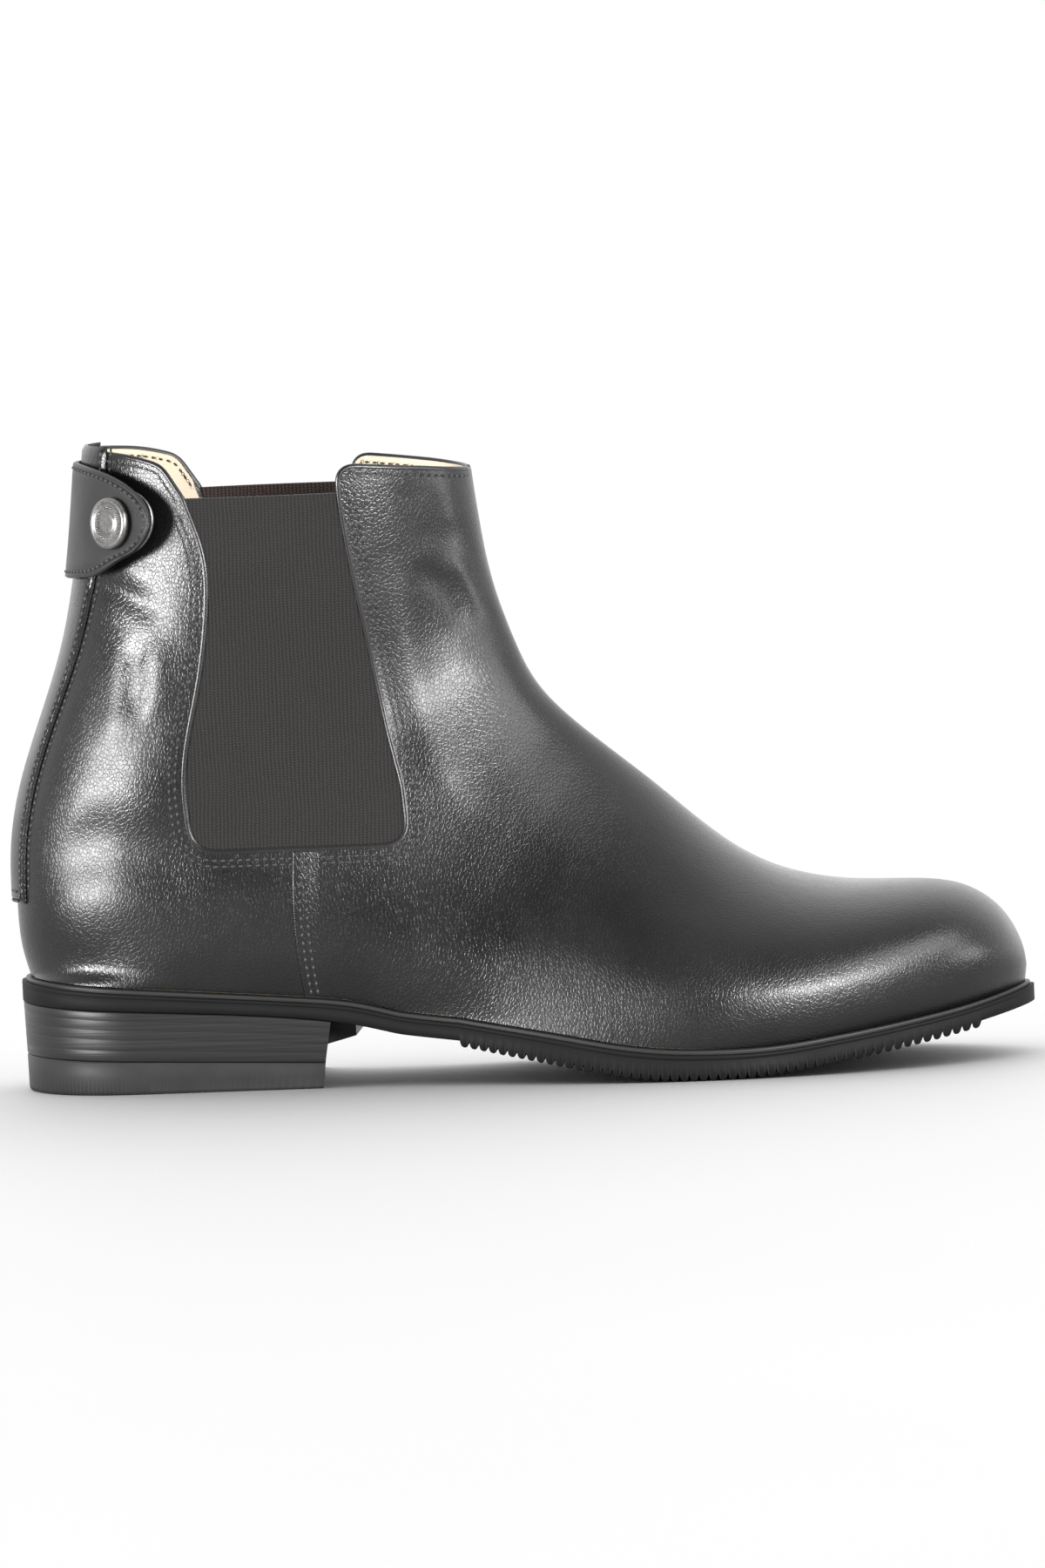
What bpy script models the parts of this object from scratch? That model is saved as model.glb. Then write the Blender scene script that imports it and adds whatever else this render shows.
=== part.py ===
"""Right paddock boot: a black leather ankle boot with an elastic panel in each side, a zip under a
leather flap down the back, a snap tab round the top of the back, a ribbed rubber sole with toe
spring, and a stacked heel.

Frame: +X to the toe, +Y to the inner (medial) side of the foot, +Z up. The origin is on the floor,
in the middle of the boot's length and width. Lengths are in metres.
"""
import bmesh
import bpy
import numpy as np
from mathutils import Matrix, Vector

# Driving sizes of the boot
LENGTH = 0.293
BALL_WIDTH = 0.100
HEEL_WIDTH = 0.066
COLLAR_WIDTH = 0.062
HEIGHT = 0.185
HEEL_HEIGHT = 0.026
TOE_SPRING = 0.0130

# Sizes of the bottom
SOLE = 0.0057
RIB_DEPTH = 0.0017
RIB_PITCH = 0.00275
WELT = 0.0010
SOLE_MARGIN = 0.0025
WELT_SHOW = 0.0012
SOLE_BEVEL = 0.0006
LIFT_FRONT = 0.0072
LIFT_SLOPE = 0.037
HEEL_TAPER = 0.0006
HEEL_INSET = 0.0002
BREAST_LEAN = 0.0028
BREAST_SKEW = 0.070
INSOLE = 0.0030
FEATHER_TUCK = 0.0008

# Sizes of the leather, the elastic and the fastening
WALL = 0.0024
FIT = 0.0003
GORE = 0.0016
GORE_SINK = 0.0004
FLAP = 0.0010
TAB = 0.0016
TAB_HEIGHT = 0.0334
TAB_REACH = 0.0395
TAB_ROOT = 0.0230
TAB_MIDDLE = 0.883
TAB_RISE = 0.0012
SNAP_REACH = 0.0275
SNAP_RADIUS = 0.0075
SNAP_THICKNESS = 0.0022
SNAP_BASE_RADIUS = 0.0096
SNAP_BASE = 0.0007
ZIP_WIDTH = 0.0100
ZIP_TAPE = 0.0014
PULL_WIDTH = 0.0050
PULL_DROP = 0.0120
PULL_TOP = 0.3
PULL = 0.0005
PULL_SIDE = 0.0055

# How finely the curved forms are divided
ROWS = 39
COLUMNS = 14
OUTLINE_STEPS = 38
FAR = 0.5


def table(columns, *rows):
    """A table with named columns, as one array for each column."""
    names = columns.split()
    return {name: np.array([row[i] for row in rows]) for i, name in enumerate(names)}


def spline(knots, values):
    """Natural cubic spline through the values, as a function of one variable."""
    knots = np.asarray(knots, float)
    values = np.asarray(values, float)
    count = len(knots)
    step = np.diff(knots)
    slope = np.diff(values) / step
    matrix = np.eye(count)
    right = np.zeros(count)
    for i in range(1, count - 1):
        matrix[i, i - 1:i + 2] = step[i - 1], 2 * (step[i - 1] + step[i]), step[i]
        right[i] = 6 * (slope[i] - slope[i - 1])
    bend = np.linalg.solve(matrix, right)

    def value(at):
        at = np.clip(np.asarray(at, float), knots[0], knots[-1])
        i = np.clip(np.searchsorted(knots, at, side="right") - 1, 0, count - 2)
        h = step[i]
        a = (knots[i + 1] - at) / h
        b = 1 - a
        return (a * values[i] + b * values[i + 1]
                + ((a ** 3 - a) * bend[i] + (b ** 3 - b) * bend[i + 1]) * h ** 2 / 6)

    return value


WIDTHS = {"ball": BALL_WIDTH, "heel": HEEL_WIDTH, "collar": COLLAR_WIDTH}

# Underside and edge of the sole. at is the place from back (0) to toe (1) as a share of the length.
# heel and spring are the shares of heel height and toe spring that lift the underside there, and
# body is the share of the sole's thickness.
SIDE = table(
    "at     heel   spring body",
    (0.000, 1.000, 0.000, 1.02),
    (0.171, 0.885, 0.000, 0.82),
    (0.290, 0.780, 0.000, 0.80),
    (0.342, 0.690, 0.000, 0.88),
    (0.386, 0.570, 0.000, 0.88),
    (0.444, 0.425, 0.000, 0.88),
    (0.495, 0.305, 0.000, 0.96),
    (0.546, 0.185, 0.000, 1.04),
    (0.598, 0.068, 0.000, 1.08),
    (0.645, 0.008, 0.000, 1.06),
    (0.680, 0.000, 0.000, 1.00),
    (0.712, 0.000, 0.000, 0.98),
    (0.760, 0.000, 0.070, 0.92),
    (0.806, 0.000, 0.215, 0.86),
    (0.850, 0.000, 0.365, 0.82),
    (0.894, 0.000, 0.530, 0.78),
    (0.939, 0.000, 0.710, 0.76),
    (1.000, 0.000, 1.000, 0.84),
)

# Plan of the sole's edge. centre, lateral and medial are shares of the width that the row names.
PLAN = table(
    "at     width   centre  lateral medial",
    (0.000, "heel", 0.015, 0.500, 0.500),
    (0.154, "heel", 0.015, 0.503, 0.497),
    (0.290, "heel", 0.000, 0.492, 0.480),
    (0.410, "ball", -0.025, 0.325, 0.305),
    (0.512, "ball", -0.035, 0.388, 0.365),
    (0.615, "ball", -0.022, 0.466, 0.448),
    (0.683, "ball", -0.010, 0.490, 0.488),
    (0.768, "ball", 0.010, 0.480, 0.490),
    (0.853, "ball", 0.030, 0.455, 0.440),
    (1.000, "ball", 0.060, 0.395, 0.360),
)
TOE_ROUND = 0.268
TOE_FULL = 2.4
HEEL_ROUND = 0.54
HEEL_FULL = 2.3

# Back of the upper. climb is the way from the feather line (0) to the collar (1), and lean is how
# far the leather stands behind the foot of the heel, as a share of the length.
BACK = table(
    "climb  lean",
    (0.000, 0.0000),
    (0.050, 0.0066),
    (0.140, 0.0098),
    (0.240, 0.0086),
    (0.360, -0.0034),
    (0.480, -0.0250),
    (0.600, -0.0470),
    (0.740, -0.0640),
    (0.880, -0.0735),
    (1.060, -0.0830),
)

# Sections of the upper, which fan round the instep from the toe to the collar. top_x and top_z are
# the place on the front outline, as shares of length and height. base is the foot of the section:
# along the feather line from back (0) to toe (1) for the foot, and the climb up the back for the
# shaft. lateral and medial are the widest half widths, as shares of the width that the row names,
# widest is where along the section they lie, full is the roundness of the section, and ridge is
# how far the front ridge lies to the inner side, as a share of the ball width.
FOOT = table(
    "station top_x  top_z  base   width   lateral medial widest full  ridge",
    (0.0, 0.9935, 0.1350, 1.0000, "ball", 0.400, 0.350, 0.36, 2.10, 0.060),
    (1.0, 0.9900, 0.1660, 0.9915, "ball", 0.404, 0.356, 0.35, 2.10, 0.061),
    (2.0, 0.9795, 0.2030, 0.9730, "ball", 0.410, 0.366, 0.34, 2.12, 0.063),
    (3.0, 0.9610, 0.2370, 0.9430, "ball", 0.420, 0.384, 0.33, 2.15, 0.066),
    (4.0, 0.9280, 0.2645, 0.9030, "ball", 0.434, 0.408, 0.32, 2.18, 0.070),
    (6.0, 0.8270, 0.2765, 0.7900, "ball", 0.468, 0.452, 0.30, 2.10, 0.072),
    (8.0, 0.7270, 0.3225, 0.6550, "ball", 0.472, 0.458, 0.29, 1.90, 0.060),
    (10.0, 0.6440, 0.4285, 0.5050, "ball", 0.376, 0.372, 0.29, 1.78, 0.045),
    (12.0, 0.5720, 0.5260, 0.3370, "heel", 0.500, 0.490, 0.28, 1.82, 0.022),
    (14.0, 0.5253, 0.6040, 0.1620, "heel", 0.496, 0.494, 0.28, 1.90, 0.012),
    (16.0, 0.5034, 0.6780, 0.0000, "heel", 0.484, 0.484, 0.28, 1.98, 0.010),
)
SHAFT = table(
    "station top_x  top_z  base   width   lateral  medial widest full  ridge",
    (18.0, 0.4898, 0.7430, 0.178, "heel", 0.472, 0.472, 0.34, 2.02, 0.010),
    (20.0, 0.4812, 0.8010, 0.350, "heel", 0.466, 0.466, 0.42, 2.06, 0.010),
    (22.0, 0.4762, 0.8520, 0.520, "collar", 0.497, 0.497, 0.46, 2.08, 0.010),
    (25.0, 0.4708, 0.9210, 0.780, "collar", 0.500, 0.500, 0.50, 2.10, 0.010),
    (28.0, 0.4665, 0.9880, 1.060, "collar", 0.502, 0.502, 0.50, 2.12, 0.010),
)
FIRST = FOOT["station"][0]
HEEL_STATION = FOOT["station"][-1]
LAST = SHAFT["station"][-1]

# Edges of the elastic panel seen from the side: level is the height as a share of the whole.
WINDOW = table(
    "level  rear   front",
    (0.330, 0.1905, 0.4010),
    (0.430, 0.1830, 0.4000),
    (0.520, 0.1850, 0.3880),
    (0.620, 0.1990, 0.3760),
    (0.740, 0.2110, 0.3630),
    (0.840, 0.2090, 0.3530),
    (0.920, 0.1920, 0.3470),
    (1.100, 0.1880, 0.3440),
)
WINDOW_BOTTOM = 0.371
WINDOW_CORNER = 0.015
WINDOW_STRAIGHT = 0.46
WINDOW_TOP = 1.1
GORE_TOP = 0.9190

# Collar line seen from the side, from the back to the front, with the radius of each corner.
COLLAR = table(
    "at      level  radius",
    (-0.020, 1.0100, 0.000),
    (0.1400, 0.9840, 0.060),
    (0.1720, 0.9690, 0.007),
    (0.1925, 0.9180, 0.002),
    (0.3430, 0.9160, 0.002),
    (0.3495, 0.9600, 0.007),
    (0.4300, 0.9480, 0.060),
    (0.6000, 0.9150, 0.000),
)

# Leather flap down the back: reach round the back from the middle line, to either side.
FLAP_SHAPE = table(
    "climb   lateral medial",
    (0.140, 0.0135, 0.0095),
    (0.300, 0.0135, 0.0100),
    (0.480, 0.0138, 0.0102),
    (0.700, 0.0162, 0.0105),
    (1.000, 0.0185, 0.0110),
)
ZIP_FOOT = 0.175
ZIP_HEAD = 0.990
SLOT_HEAD = 1.03


def along(share):
    """X of a place given as a share of the length from the back of the boot."""
    return (np.asarray(share, float) - 0.5) * LENGTH


def share_of(x):
    return np.asarray(x, float) / LENGTH + 0.5


heel_share = spline(SIDE["at"], SIDE["heel"])
spring_share = spline(SIDE["at"], SIDE["spring"])
body_share = spline(SIDE["at"], SIDE["body"])
RIBS_FROM = 0.444
RIBS_TO = 0.956
RIB_FADE = 0.060


def underside(x):
    """Lowest line of the sole: the tips of the ribs, or the plain waist and seat."""
    at = share_of(x)
    return np.maximum(heel_share(at) * HEEL_HEIGHT + spring_share(at) * TOE_SPRING, 0.0)


def sole_body(x):
    """Underside of the sole's body, between the ribs."""
    fade = np.clip((share_of(x) - RIBS_FROM) / RIB_FADE + 1, 0, 1)
    return underside(x) + RIB_DEPTH * fade


def sole_top(x):
    return sole_body(x) + SOLE * body_share(share_of(x))


def feather(x):
    """Height of the upper's lower edge, which stands on the welt."""
    return sole_top(x) + FIT + WELT + FIT


FEATHER_BACK = along(0) + BACK["lean"].max() * LENGTH + FIT + FLAP
FEATHER_TIP = along(1) - SOLE_MARGIN
SOLE_BACK = FEATHER_BACK - SOLE_MARGIN
SOLE_TIP = along(1)


def plan_column(name):
    sizes = np.array([WIDTHS[width] for width in PLAN["width"]])
    return spline(PLAN["at"], PLAN[name] * sizes)


plan_centre = plan_column("centre")
plan_lateral = plan_column("lateral")
plan_medial = plan_column("medial")


def toe_cap(x, tip):
    reach = TOE_ROUND * LENGTH
    near = np.clip((x - tip + reach) / reach, 0, 1)
    return np.sqrt(1 - near ** TOE_FULL)


def heel_cap(x, back):
    reach = HEEL_ROUND * HEEL_WIDTH
    near = np.clip((back + reach - x) / reach, 0, 1)
    return np.sqrt(1 - near ** HEEL_FULL)


def plan(x, inset=0.0, tuck=0.0):
    """Lateral and medial half widths of the sole's plan, inset from its edge."""
    cap = toe_cap(x, SOLE_TIP - inset) * heel_cap(x, SOLE_BACK + inset)
    at = share_of(x)
    return (plan_lateral(at) - inset - tuck) * cap, (plan_medial(at) - inset - tuck) * cap


def centre_line(x):
    return plan_centre(share_of(x))


def back_lean(climb):
    return spline(BACK["climb"], BACK["lean"])(climb) * LENGTH


def climb_height(climb):
    low = feather(FEATHER_BACK)
    return low + climb * (HEIGHT - low)


def height_climb(z):
    low = feather(FEATHER_BACK)
    return (z - low) / (HEIGHT - low)


def back_x(z):
    """X of the upper's back outline at a height."""
    return FEATHER_BACK - back_lean(height_climb(z))


def section_column(name):
    """A column of both section tables as one spline over the stations."""
    stations = np.concatenate([FOOT["station"], SHAFT["station"]])
    values = np.concatenate([FOOT[name], SHAFT[name]])
    if name in ("lateral", "medial"):
        widths = np.concatenate([FOOT["width"], SHAFT["width"]])
        values = values * np.array([WIDTHS[width] for width in widths])
    return spline(stations, values)


SECTION = {name: section_column(name)
           for name in ("top_x", "top_z", "lateral", "medial", "widest", "full", "ridge")}
foot_base = spline(FOOT["station"], FOOT["base"])
shaft_base = spline(np.append(HEEL_STATION, SHAFT["station"]), np.append(0.0, SHAFT["base"]))


def section_ends(station):
    """X and Z of the foot and of the top of a section."""
    on_foot = station <= HEEL_STATION
    foot_x = FEATHER_BACK + np.clip(foot_base(station), 0, 1) * (FEATHER_TIP - FEATHER_BACK)
    back_z = climb_height(shaft_base(station))
    base_x = np.where(on_foot, foot_x, back_x(back_z))
    base_z = np.where(on_foot, feather(foot_x), back_z)
    return base_x, base_z, along(SECTION["top_x"](station)), SECTION["top_z"](station) * HEIGHT


def section_widths(station, rise):
    """Lateral and medial half widths, and the middle line, at a rise from 0 (foot) to 1 (top)."""
    base_x = section_ends(station)[0]
    edge = plan(base_x, SOLE_MARGIN, FEATHER_TUCK)
    widest = SECTION["widest"](station)
    full = SECTION["full"](station)
    low = np.clip(1 - rise / widest, 0, 1)
    high = np.clip((rise - widest) / (1 - widest), 0, 1)
    swell = (1 - low ** full) ** (1 / full)
    crown = (1 - high ** full) ** (1 / full)
    halves = []
    for side in (0, 1):
        most = SECTION[("lateral", "medial")[side]](station) * toe_cap(base_x, FEATHER_TIP)
        foot = np.where(station < HEEL_STATION, edge[side], 0.0)
        foot = np.minimum(foot, most)
        halves.append(np.sqrt(foot ** 2 + (most ** 2 - foot ** 2) * swell ** 2) * crown)
    base_y = centre_line(base_x)
    ridge_y = SECTION["ridge"](station) * BALL_WIDTH
    return halves[0], halves[1], base_y + (ridge_y - base_y) * rise


def upper_points(station, rise):
    """Lateral and medial points of the upper's outer face."""
    base_x, base_z, top_x, top_z = section_ends(station)
    lateral, medial, middle = section_widths(station, rise)
    x = base_x + (top_x - base_x) * rise
    z = base_z + (top_z - base_z) * rise
    return np.stack([x, middle - lateral, z], -1), np.stack([x, middle + medial, z], -1)


def fan_place(x, z):
    """Station and rise of the section that passes through a place seen from the side."""
    x, z = np.broadcast_arrays(np.asarray(x, float), np.asarray(z, float))
    low = np.full(x.shape, FIRST)
    high = np.full(x.shape, LAST)
    for _ in range(40):
        middle = (low + high) / 2
        base_x, base_z, top_x, top_z = section_ends(middle)
        ahead = (top_x - base_x) * (z - base_z) - (top_z - base_z) * (x - base_x) > 0
        low = np.where(ahead, middle, low)
        high = np.where(ahead, high, middle)
    base_x, base_z, top_x, top_z = section_ends(low)
    reach = (top_x - base_x) ** 2 + (top_z - base_z) ** 2
    rise = ((x - base_x) * (top_x - base_x) + (z - base_z) * (top_z - base_z)) / reach
    return low, np.clip(rise, 0, 1)


GIRTH_DEPTH = 0.060
GIRTH_STEPS = 90


def girth_points(reach, z):
    """Points of the upper's outer face at a reach round the back, lateral side negative."""
    reach, z = np.broadcast_arrays(np.asarray(reach, float), np.asarray(z, float))
    depth = GIRTH_DEPTH * np.linspace(0, 1, GIRTH_STEPS) ** 2
    heights = np.repeat(z.reshape(-1, 1), GIRTH_STEPS, 1)
    lateral, medial = upper_points(*fan_place(back_x(heights) + depth, heights))
    result = np.zeros((reach.size, 3))
    for index, distance in enumerate(reach.ravel()):
        side = lateral[index] if distance < 0 else medial[index]
        arc = np.append(0.0, np.cumsum(np.hypot(np.diff(side[:, 0]), np.diff(side[:, 1]))))
        result[index] = (np.interp(abs(distance), arc, side[:, 0]),
                         np.interp(abs(distance), arc, side[:, 1]), heights[index, 0])
    return result.reshape(reach.shape + (3,))


def unit(vectors):
    return vectors / np.linalg.norm(vectors, axis=-1, keepdims=True)


def girth_normals(reach, z, step=0.0008):
    round_back = girth_points(reach + step, z) - girth_points(reach - step, z)
    upward = girth_points(reach, z + step) - girth_points(reach, z - step)
    return unit(np.cross(upward, round_back))


def material(name, colour, roughness, metallic=0.0):
    made = bpy.data.materials.new(name)
    made.use_nodes = True
    shader = made.node_tree.nodes["Principled BSDF"]
    shader.inputs["Base Color"].default_value = (*colour, 1.0)
    shader.inputs["Roughness"].default_value = roughness
    shader.inputs["Metallic"].default_value = metallic
    return made


def add_object(name, mesh, look=None):
    piece = bpy.data.objects.new(name, mesh)
    bpy.context.scene.collection.objects.link(piece)
    if look:
        mesh.materials.append(look)
    mesh.shade_smooth()
    mesh.set_sharp_from_angle(angle=np.radians(35))
    return piece


def add_mesh(name, points, faces, look=None):
    """A closed solid from points and faces, with its faces turned outwards."""
    mesh = bpy.data.meshes.new(name)
    mesh.from_pydata([tuple(map(float, point)) for point in points], [], faces)
    form = bmesh.new()
    form.from_mesh(mesh)
    bmesh.ops.remove_doubles(form, verts=form.verts, dist=1e-6)
    bmesh.ops.dissolve_degenerate(form, edges=form.edges, dist=1e-7)
    bmesh.ops.recalc_face_normals(form, faces=form.faces)
    if form.calc_volume(signed=True) < 0:
        bmesh.ops.reverse_faces(form, faces=form.faces)
    form.to_mesh(mesh)
    form.free()
    return add_object(name, mesh, look)


def cutter(piece):
    piece.hide_render = True
    piece.display_type = "WIRE"
    return piece


def boolean(piece, tool, operation):
    change = piece.modifiers.new(operation.lower(), "BOOLEAN")
    change.operation = operation
    change.solver = "EXACT"
    change.object = tool


def loft(name, loops, look=None, closed=False):
    """A solid through closed loops of equal length, with flat ends unless it closes on itself."""
    loops = np.asarray(loops, float)
    rows, columns = loops.shape[:2]
    faces = []
    for i in range(rows if closed else rows - 1):
        for j in range(columns):
            after = (i + 1) % rows
            beside = (j + 1) % columns
            faces.append((i * columns + j, i * columns + beside,
                          after * columns + beside, after * columns + j))
    if not closed:
        faces.append(tuple(range(columns)))
        faces.append(tuple((rows - 1) * columns + j for j in range(columns)))
    return add_mesh(name, loops.reshape(-1, 3), faces, look)


def slab(name, outer, inner, look=None):
    """A solid between two grids of points."""
    rows, columns = outer.shape[:2]
    count = rows * columns
    at = np.arange(count).reshape(rows, columns)
    faces = []
    for i in range(rows - 1):
        for j in range(columns - 1):
            ring = (at[i, j], at[i, j + 1], at[i + 1, j + 1], at[i + 1, j])
            faces.append(tuple(int(k) for k in ring))
            faces.append(tuple(int(k) + count for k in reversed(ring)))
    rim = list(at[0, :-1]) + list(at[:-1, -1]) + list(at[-1, :0:-1]) + list(at[:0:-1, 0])
    for k, here in enumerate(rim):
        there = rim[(k + 1) % len(rim)]
        faces.append((int(here), int(here) + count, int(there) + count, int(there)))
    return add_mesh(name, np.concatenate([outer.reshape(-1, 3), inner.reshape(-1, 3)]), faces, look)


def side_prism(name, outline, low=-FAR, high=FAR):
    """A prism across the boot from an outline of X and Z."""
    return cutter(loft(name, [[(x, y, z) for x, z in outline] for y in (low, high)]))


def fillet(corner, before, after, radius, steps=7):
    """Points of an arc that rounds a corner of an outline."""
    corner, before, after = (np.asarray(point, float) for point in (corner, before, after))
    one = unit(before - corner)
    two = unit(after - corner)
    half = np.arccos(np.clip(one @ two, -1, 1)) / 2
    run = min(radius / np.tan(half), 0.49 * np.linalg.norm(before - corner),
              0.49 * np.linalg.norm(after - corner))
    start = corner + one * run
    end = corner + two * run
    share = np.linspace(0, 1, steps)[:, None]
    return list((1 - share) ** 2 * start + 2 * share * (1 - share) * corner + share ** 2 * end)


def half_spacing(steps):
    return (1 - np.cos(np.pi * np.linspace(0, 1, steps))) / 2


def outline_places(back, tip, steps):
    """X places from back to tip, closer together at the two round ends."""
    return back + (tip - back) * half_spacing(steps)


def edge_ring(inset, steps=OUTLINE_STEPS):
    """Plan of the sole's edge as a ring of X and Y, inset by a distance."""
    x = outline_places(SOLE_BACK + inset, SOLE_TIP - inset, steps)
    lateral, medial = plan(x, inset)
    middle = centre_line(x)
    there = np.stack([x, middle - lateral], -1)
    back = np.stack([x, middle + medial], -1)[-2:0:-1]
    return np.concatenate([there, back])


def sole_stations():
    """X places of the sole's sections, with several to each rib."""
    ribs_from = along(RIBS_FROM)
    ribs_to = along(RIBS_TO)
    count = int((ribs_to - ribs_from) / RIB_PITCH)
    phases = (0.0, 0.28, 0.62, 0.90)
    ribs = [(ribs_from + (k + phase) * RIB_PITCH, float(phase in phases[1:3]))
            for k in range(count) for phase in phases]
    ribs.append((ribs_from + count * RIB_PITCH, 0.0))
    ends = outline_places(SOLE_BACK, SOLE_TIP, OUTLINE_STEPS)
    plain = [(x, 0.0) for x in ends if x < ribs_from - RIB_PITCH or x > ribs[-1][0] + RIB_PITCH / 2]
    return sorted(plain + ribs)


def make_outsole(look):
    loops = []
    for x, tooth in sole_stations():
        lateral, medial = plan(x)
        middle = centre_line(x)
        bevel = min(SOLE_BEVEL, 0.4 * float(lateral))
        top = sole_top(x)
        bottom = sole_body(x) - tooth * RIB_DEPTH
        loops.append([
            (x, middle - lateral + bevel, top),
            (x, middle - lateral, top - bevel),
            (x, middle - lateral, bottom),
            (x, middle + medial, bottom),
            (x, middle + medial, top - bevel),
            (x, middle + medial - bevel, top),
        ])
    return loft("outsole", loops, look)


def make_welt(look):
    outer = edge_ring(WELT_SHOW)
    inner = edge_ring(SOLE_MARGIN + FEATHER_TUCK + WALL + FIT)
    loops = []
    for (x_out, y_out), (x_in, y_in) in zip(outer, inner):
        low_out = sole_top(x_out) + FIT
        low_in = sole_top(x_in) + FIT
        loops.append([(x_out, y_out, low_out), (x_out, y_out, low_out + WELT),
                      (x_in, y_in, low_in + WELT), (x_in, y_in, low_in)])
    return loft("welt", loops, look, closed=True)


def make_insole(look):
    inset = SOLE_MARGIN + FEATHER_TUCK + WALL + 3 * FIT
    loops = []
    for x in outline_places(SOLE_BACK + inset, SOLE_TIP - inset, OUTLINE_STEPS):
        lateral, medial = plan(x, inset)
        middle = centre_line(x)
        low = sole_top(x) + FIT
        loops.append([(x, middle - lateral, low), (x, middle + medial, low),
                      (x, middle + medial, low + INSOLE), (x, middle - lateral, low + INSOLE)])
    return loft("insole", loops, look)


HEEL_FRONT = 0.3175
WEDGE_WIDTH = 0.030
WEDGE_REACH = 0.0058
WEDGE_FOOT = 0.0088
HEEL_SECTIONS = 18


def lift_top(x):
    """Seam between the heel stack and its rubber top piece."""
    return LIFT_FRONT + (along(HEEL_FRONT) - x) * LIFT_SLOPE


def heel_section(share, level, inset):
    """The two edge points of the heel at a share from back to front and a level from 0 to 1."""
    back = SOLE_BACK + inset
    front = along(HEEL_FRONT) - BREAST_LEAN * (1 - level)
    skew = BREAST_SKEW * HEEL_WIDTH * share ** 4
    lateral_x = back + (front - back) * share
    medial_x = back + (front - skew - back) * share
    lateral_y = centre_line(lateral_x) - plan(lateral_x, inset)[0]
    medial_y = centre_line(medial_x) + plan(medial_x, inset)[1]
    return (lateral_x, lateral_y), (medial_x, medial_y)


def heel_block(name, low, high, low_level, high_level, look):
    """A block of the heel between two seams, tapering towards the floor."""
    loops = []
    for share in np.sin(np.linspace(0, np.pi / 2, HEEL_SECTIONS)) ** 2:
        loop = []
        for level, seam in ((low_level, low), (high_level, high)):
            inset = HEEL_INSET + HEEL_TAPER * (1 - level)
            edge = [(x, y, seam(x)) for x, y in heel_section(share, level, inset)]
            loop += edge if level == low_level else edge[::-1]
        loops.append(loop)
    return loft(name, loops, look)


def make_heel(stack_look, lift_look):
    seam_level = LIFT_FRONT / HEEL_HEIGHT
    stack = heel_block("heel_stack", lambda x: lift_top(x) + FIT, lambda x: sole_body(x) - FIT,
                       seam_level, 1.0, stack_look)
    front = along(HEEL_FRONT)
    top = sole_body(front + WEDGE_REACH) - FIT
    wedge = [(front - 2 * WEDGE_REACH, top), (front + WEDGE_REACH, top),
             (front + WEDGE_REACH, 0.5 * (top + WEDGE_FOOT)), (front - 2 * WEDGE_REACH, WEDGE_FOOT)]
    middle = float(centre_line(front))
    block = side_prism("breast_wedge", wedge, middle - WEDGE_WIDTH / 2, middle + WEDGE_WIDTH / 2)
    boolean(stack, block, "UNION")
    heel_block("heel_top_lift", lambda x: 0 * x, lift_top, 0.0, seam_level, lift_look)


def upper_grid():
    """Stations and rises of the upper's faces."""
    foot = HEEL_STATION * half_spacing(ROWS - ROWS // 3)
    shaft = np.linspace(HEEL_STATION, LAST, ROWS // 3 + 1)[1:]
    return np.concatenate([foot, shaft]), half_spacing(COLUMNS)


def upper_face(lift):
    """The upper's outer face as an open mesh, lifted off the last, with its points' normals."""
    stations, rises = upper_grid()
    station, rise = np.meshgrid(stations, rises, indexing="ij")
    lateral, medial = upper_points(station, rise)
    points = np.concatenate([lateral, medial[:, -2::-1]], 1)
    rows, columns = points.shape[:2]
    form = bmesh.new()
    at = [form.verts.new(tuple(map(float, point))) for point in points.reshape(-1, 3)]
    for i in range(rows - 1):
        for j in range(columns - 1):
            k = i * columns + j
            form.faces.new((at[k], at[k + 1], at[k + columns + 1], at[k + columns]))
    bmesh.ops.remove_doubles(form, verts=form.verts, dist=2e-5)
    bmesh.ops.dissolve_degenerate(form, edges=form.edges, dist=1e-6)
    bmesh.ops.recalc_face_normals(form, faces=form.faces)
    toe_face = max(form.faces, key=lambda face: face.calc_center_median().x)
    if toe_face.normal.x < 0:
        bmesh.ops.reverse_faces(form, faces=form.faces)
    form.normal_update()
    for vertex in form.verts:
        on_rim = vertex.is_boundary and vertex.co.z < 1.05 * feather(vertex.co.x)
        if on_rim:
            vertex.normal = Vector((vertex.normal.x, vertex.normal.y, 0)).normalized()
        vertex.co += vertex.normal * lift
        if on_rim:
            vertex.co.z = feather(vertex.co.x)
    return form


def upper_shell(name, lift, thickness, look=None):
    """The upper's own form as a wall of some thickness, its outer face lifted off the last."""
    outer = upper_face(lift)
    inner = upper_face(lift - thickness)
    outer.verts.index_update()
    inner.verts.index_update()
    count = len(outer.verts)
    points = [vertex.co[:] for vertex in outer.verts] + [vertex.co[:] for vertex in inner.verts]
    faces = [[vertex.index for vertex in face.verts] for face in outer.faces]
    faces += [[vertex.index + count for vertex in reversed(face.verts)] for face in inner.faces]
    for edge in outer.edges:
        if edge.is_boundary:
            here, there = (vertex.index for vertex in edge.verts)
            faces.append([here, there, there + count, here + count])
    outer.free()
    inner.free()
    return add_mesh(name, points, faces, look)


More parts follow.
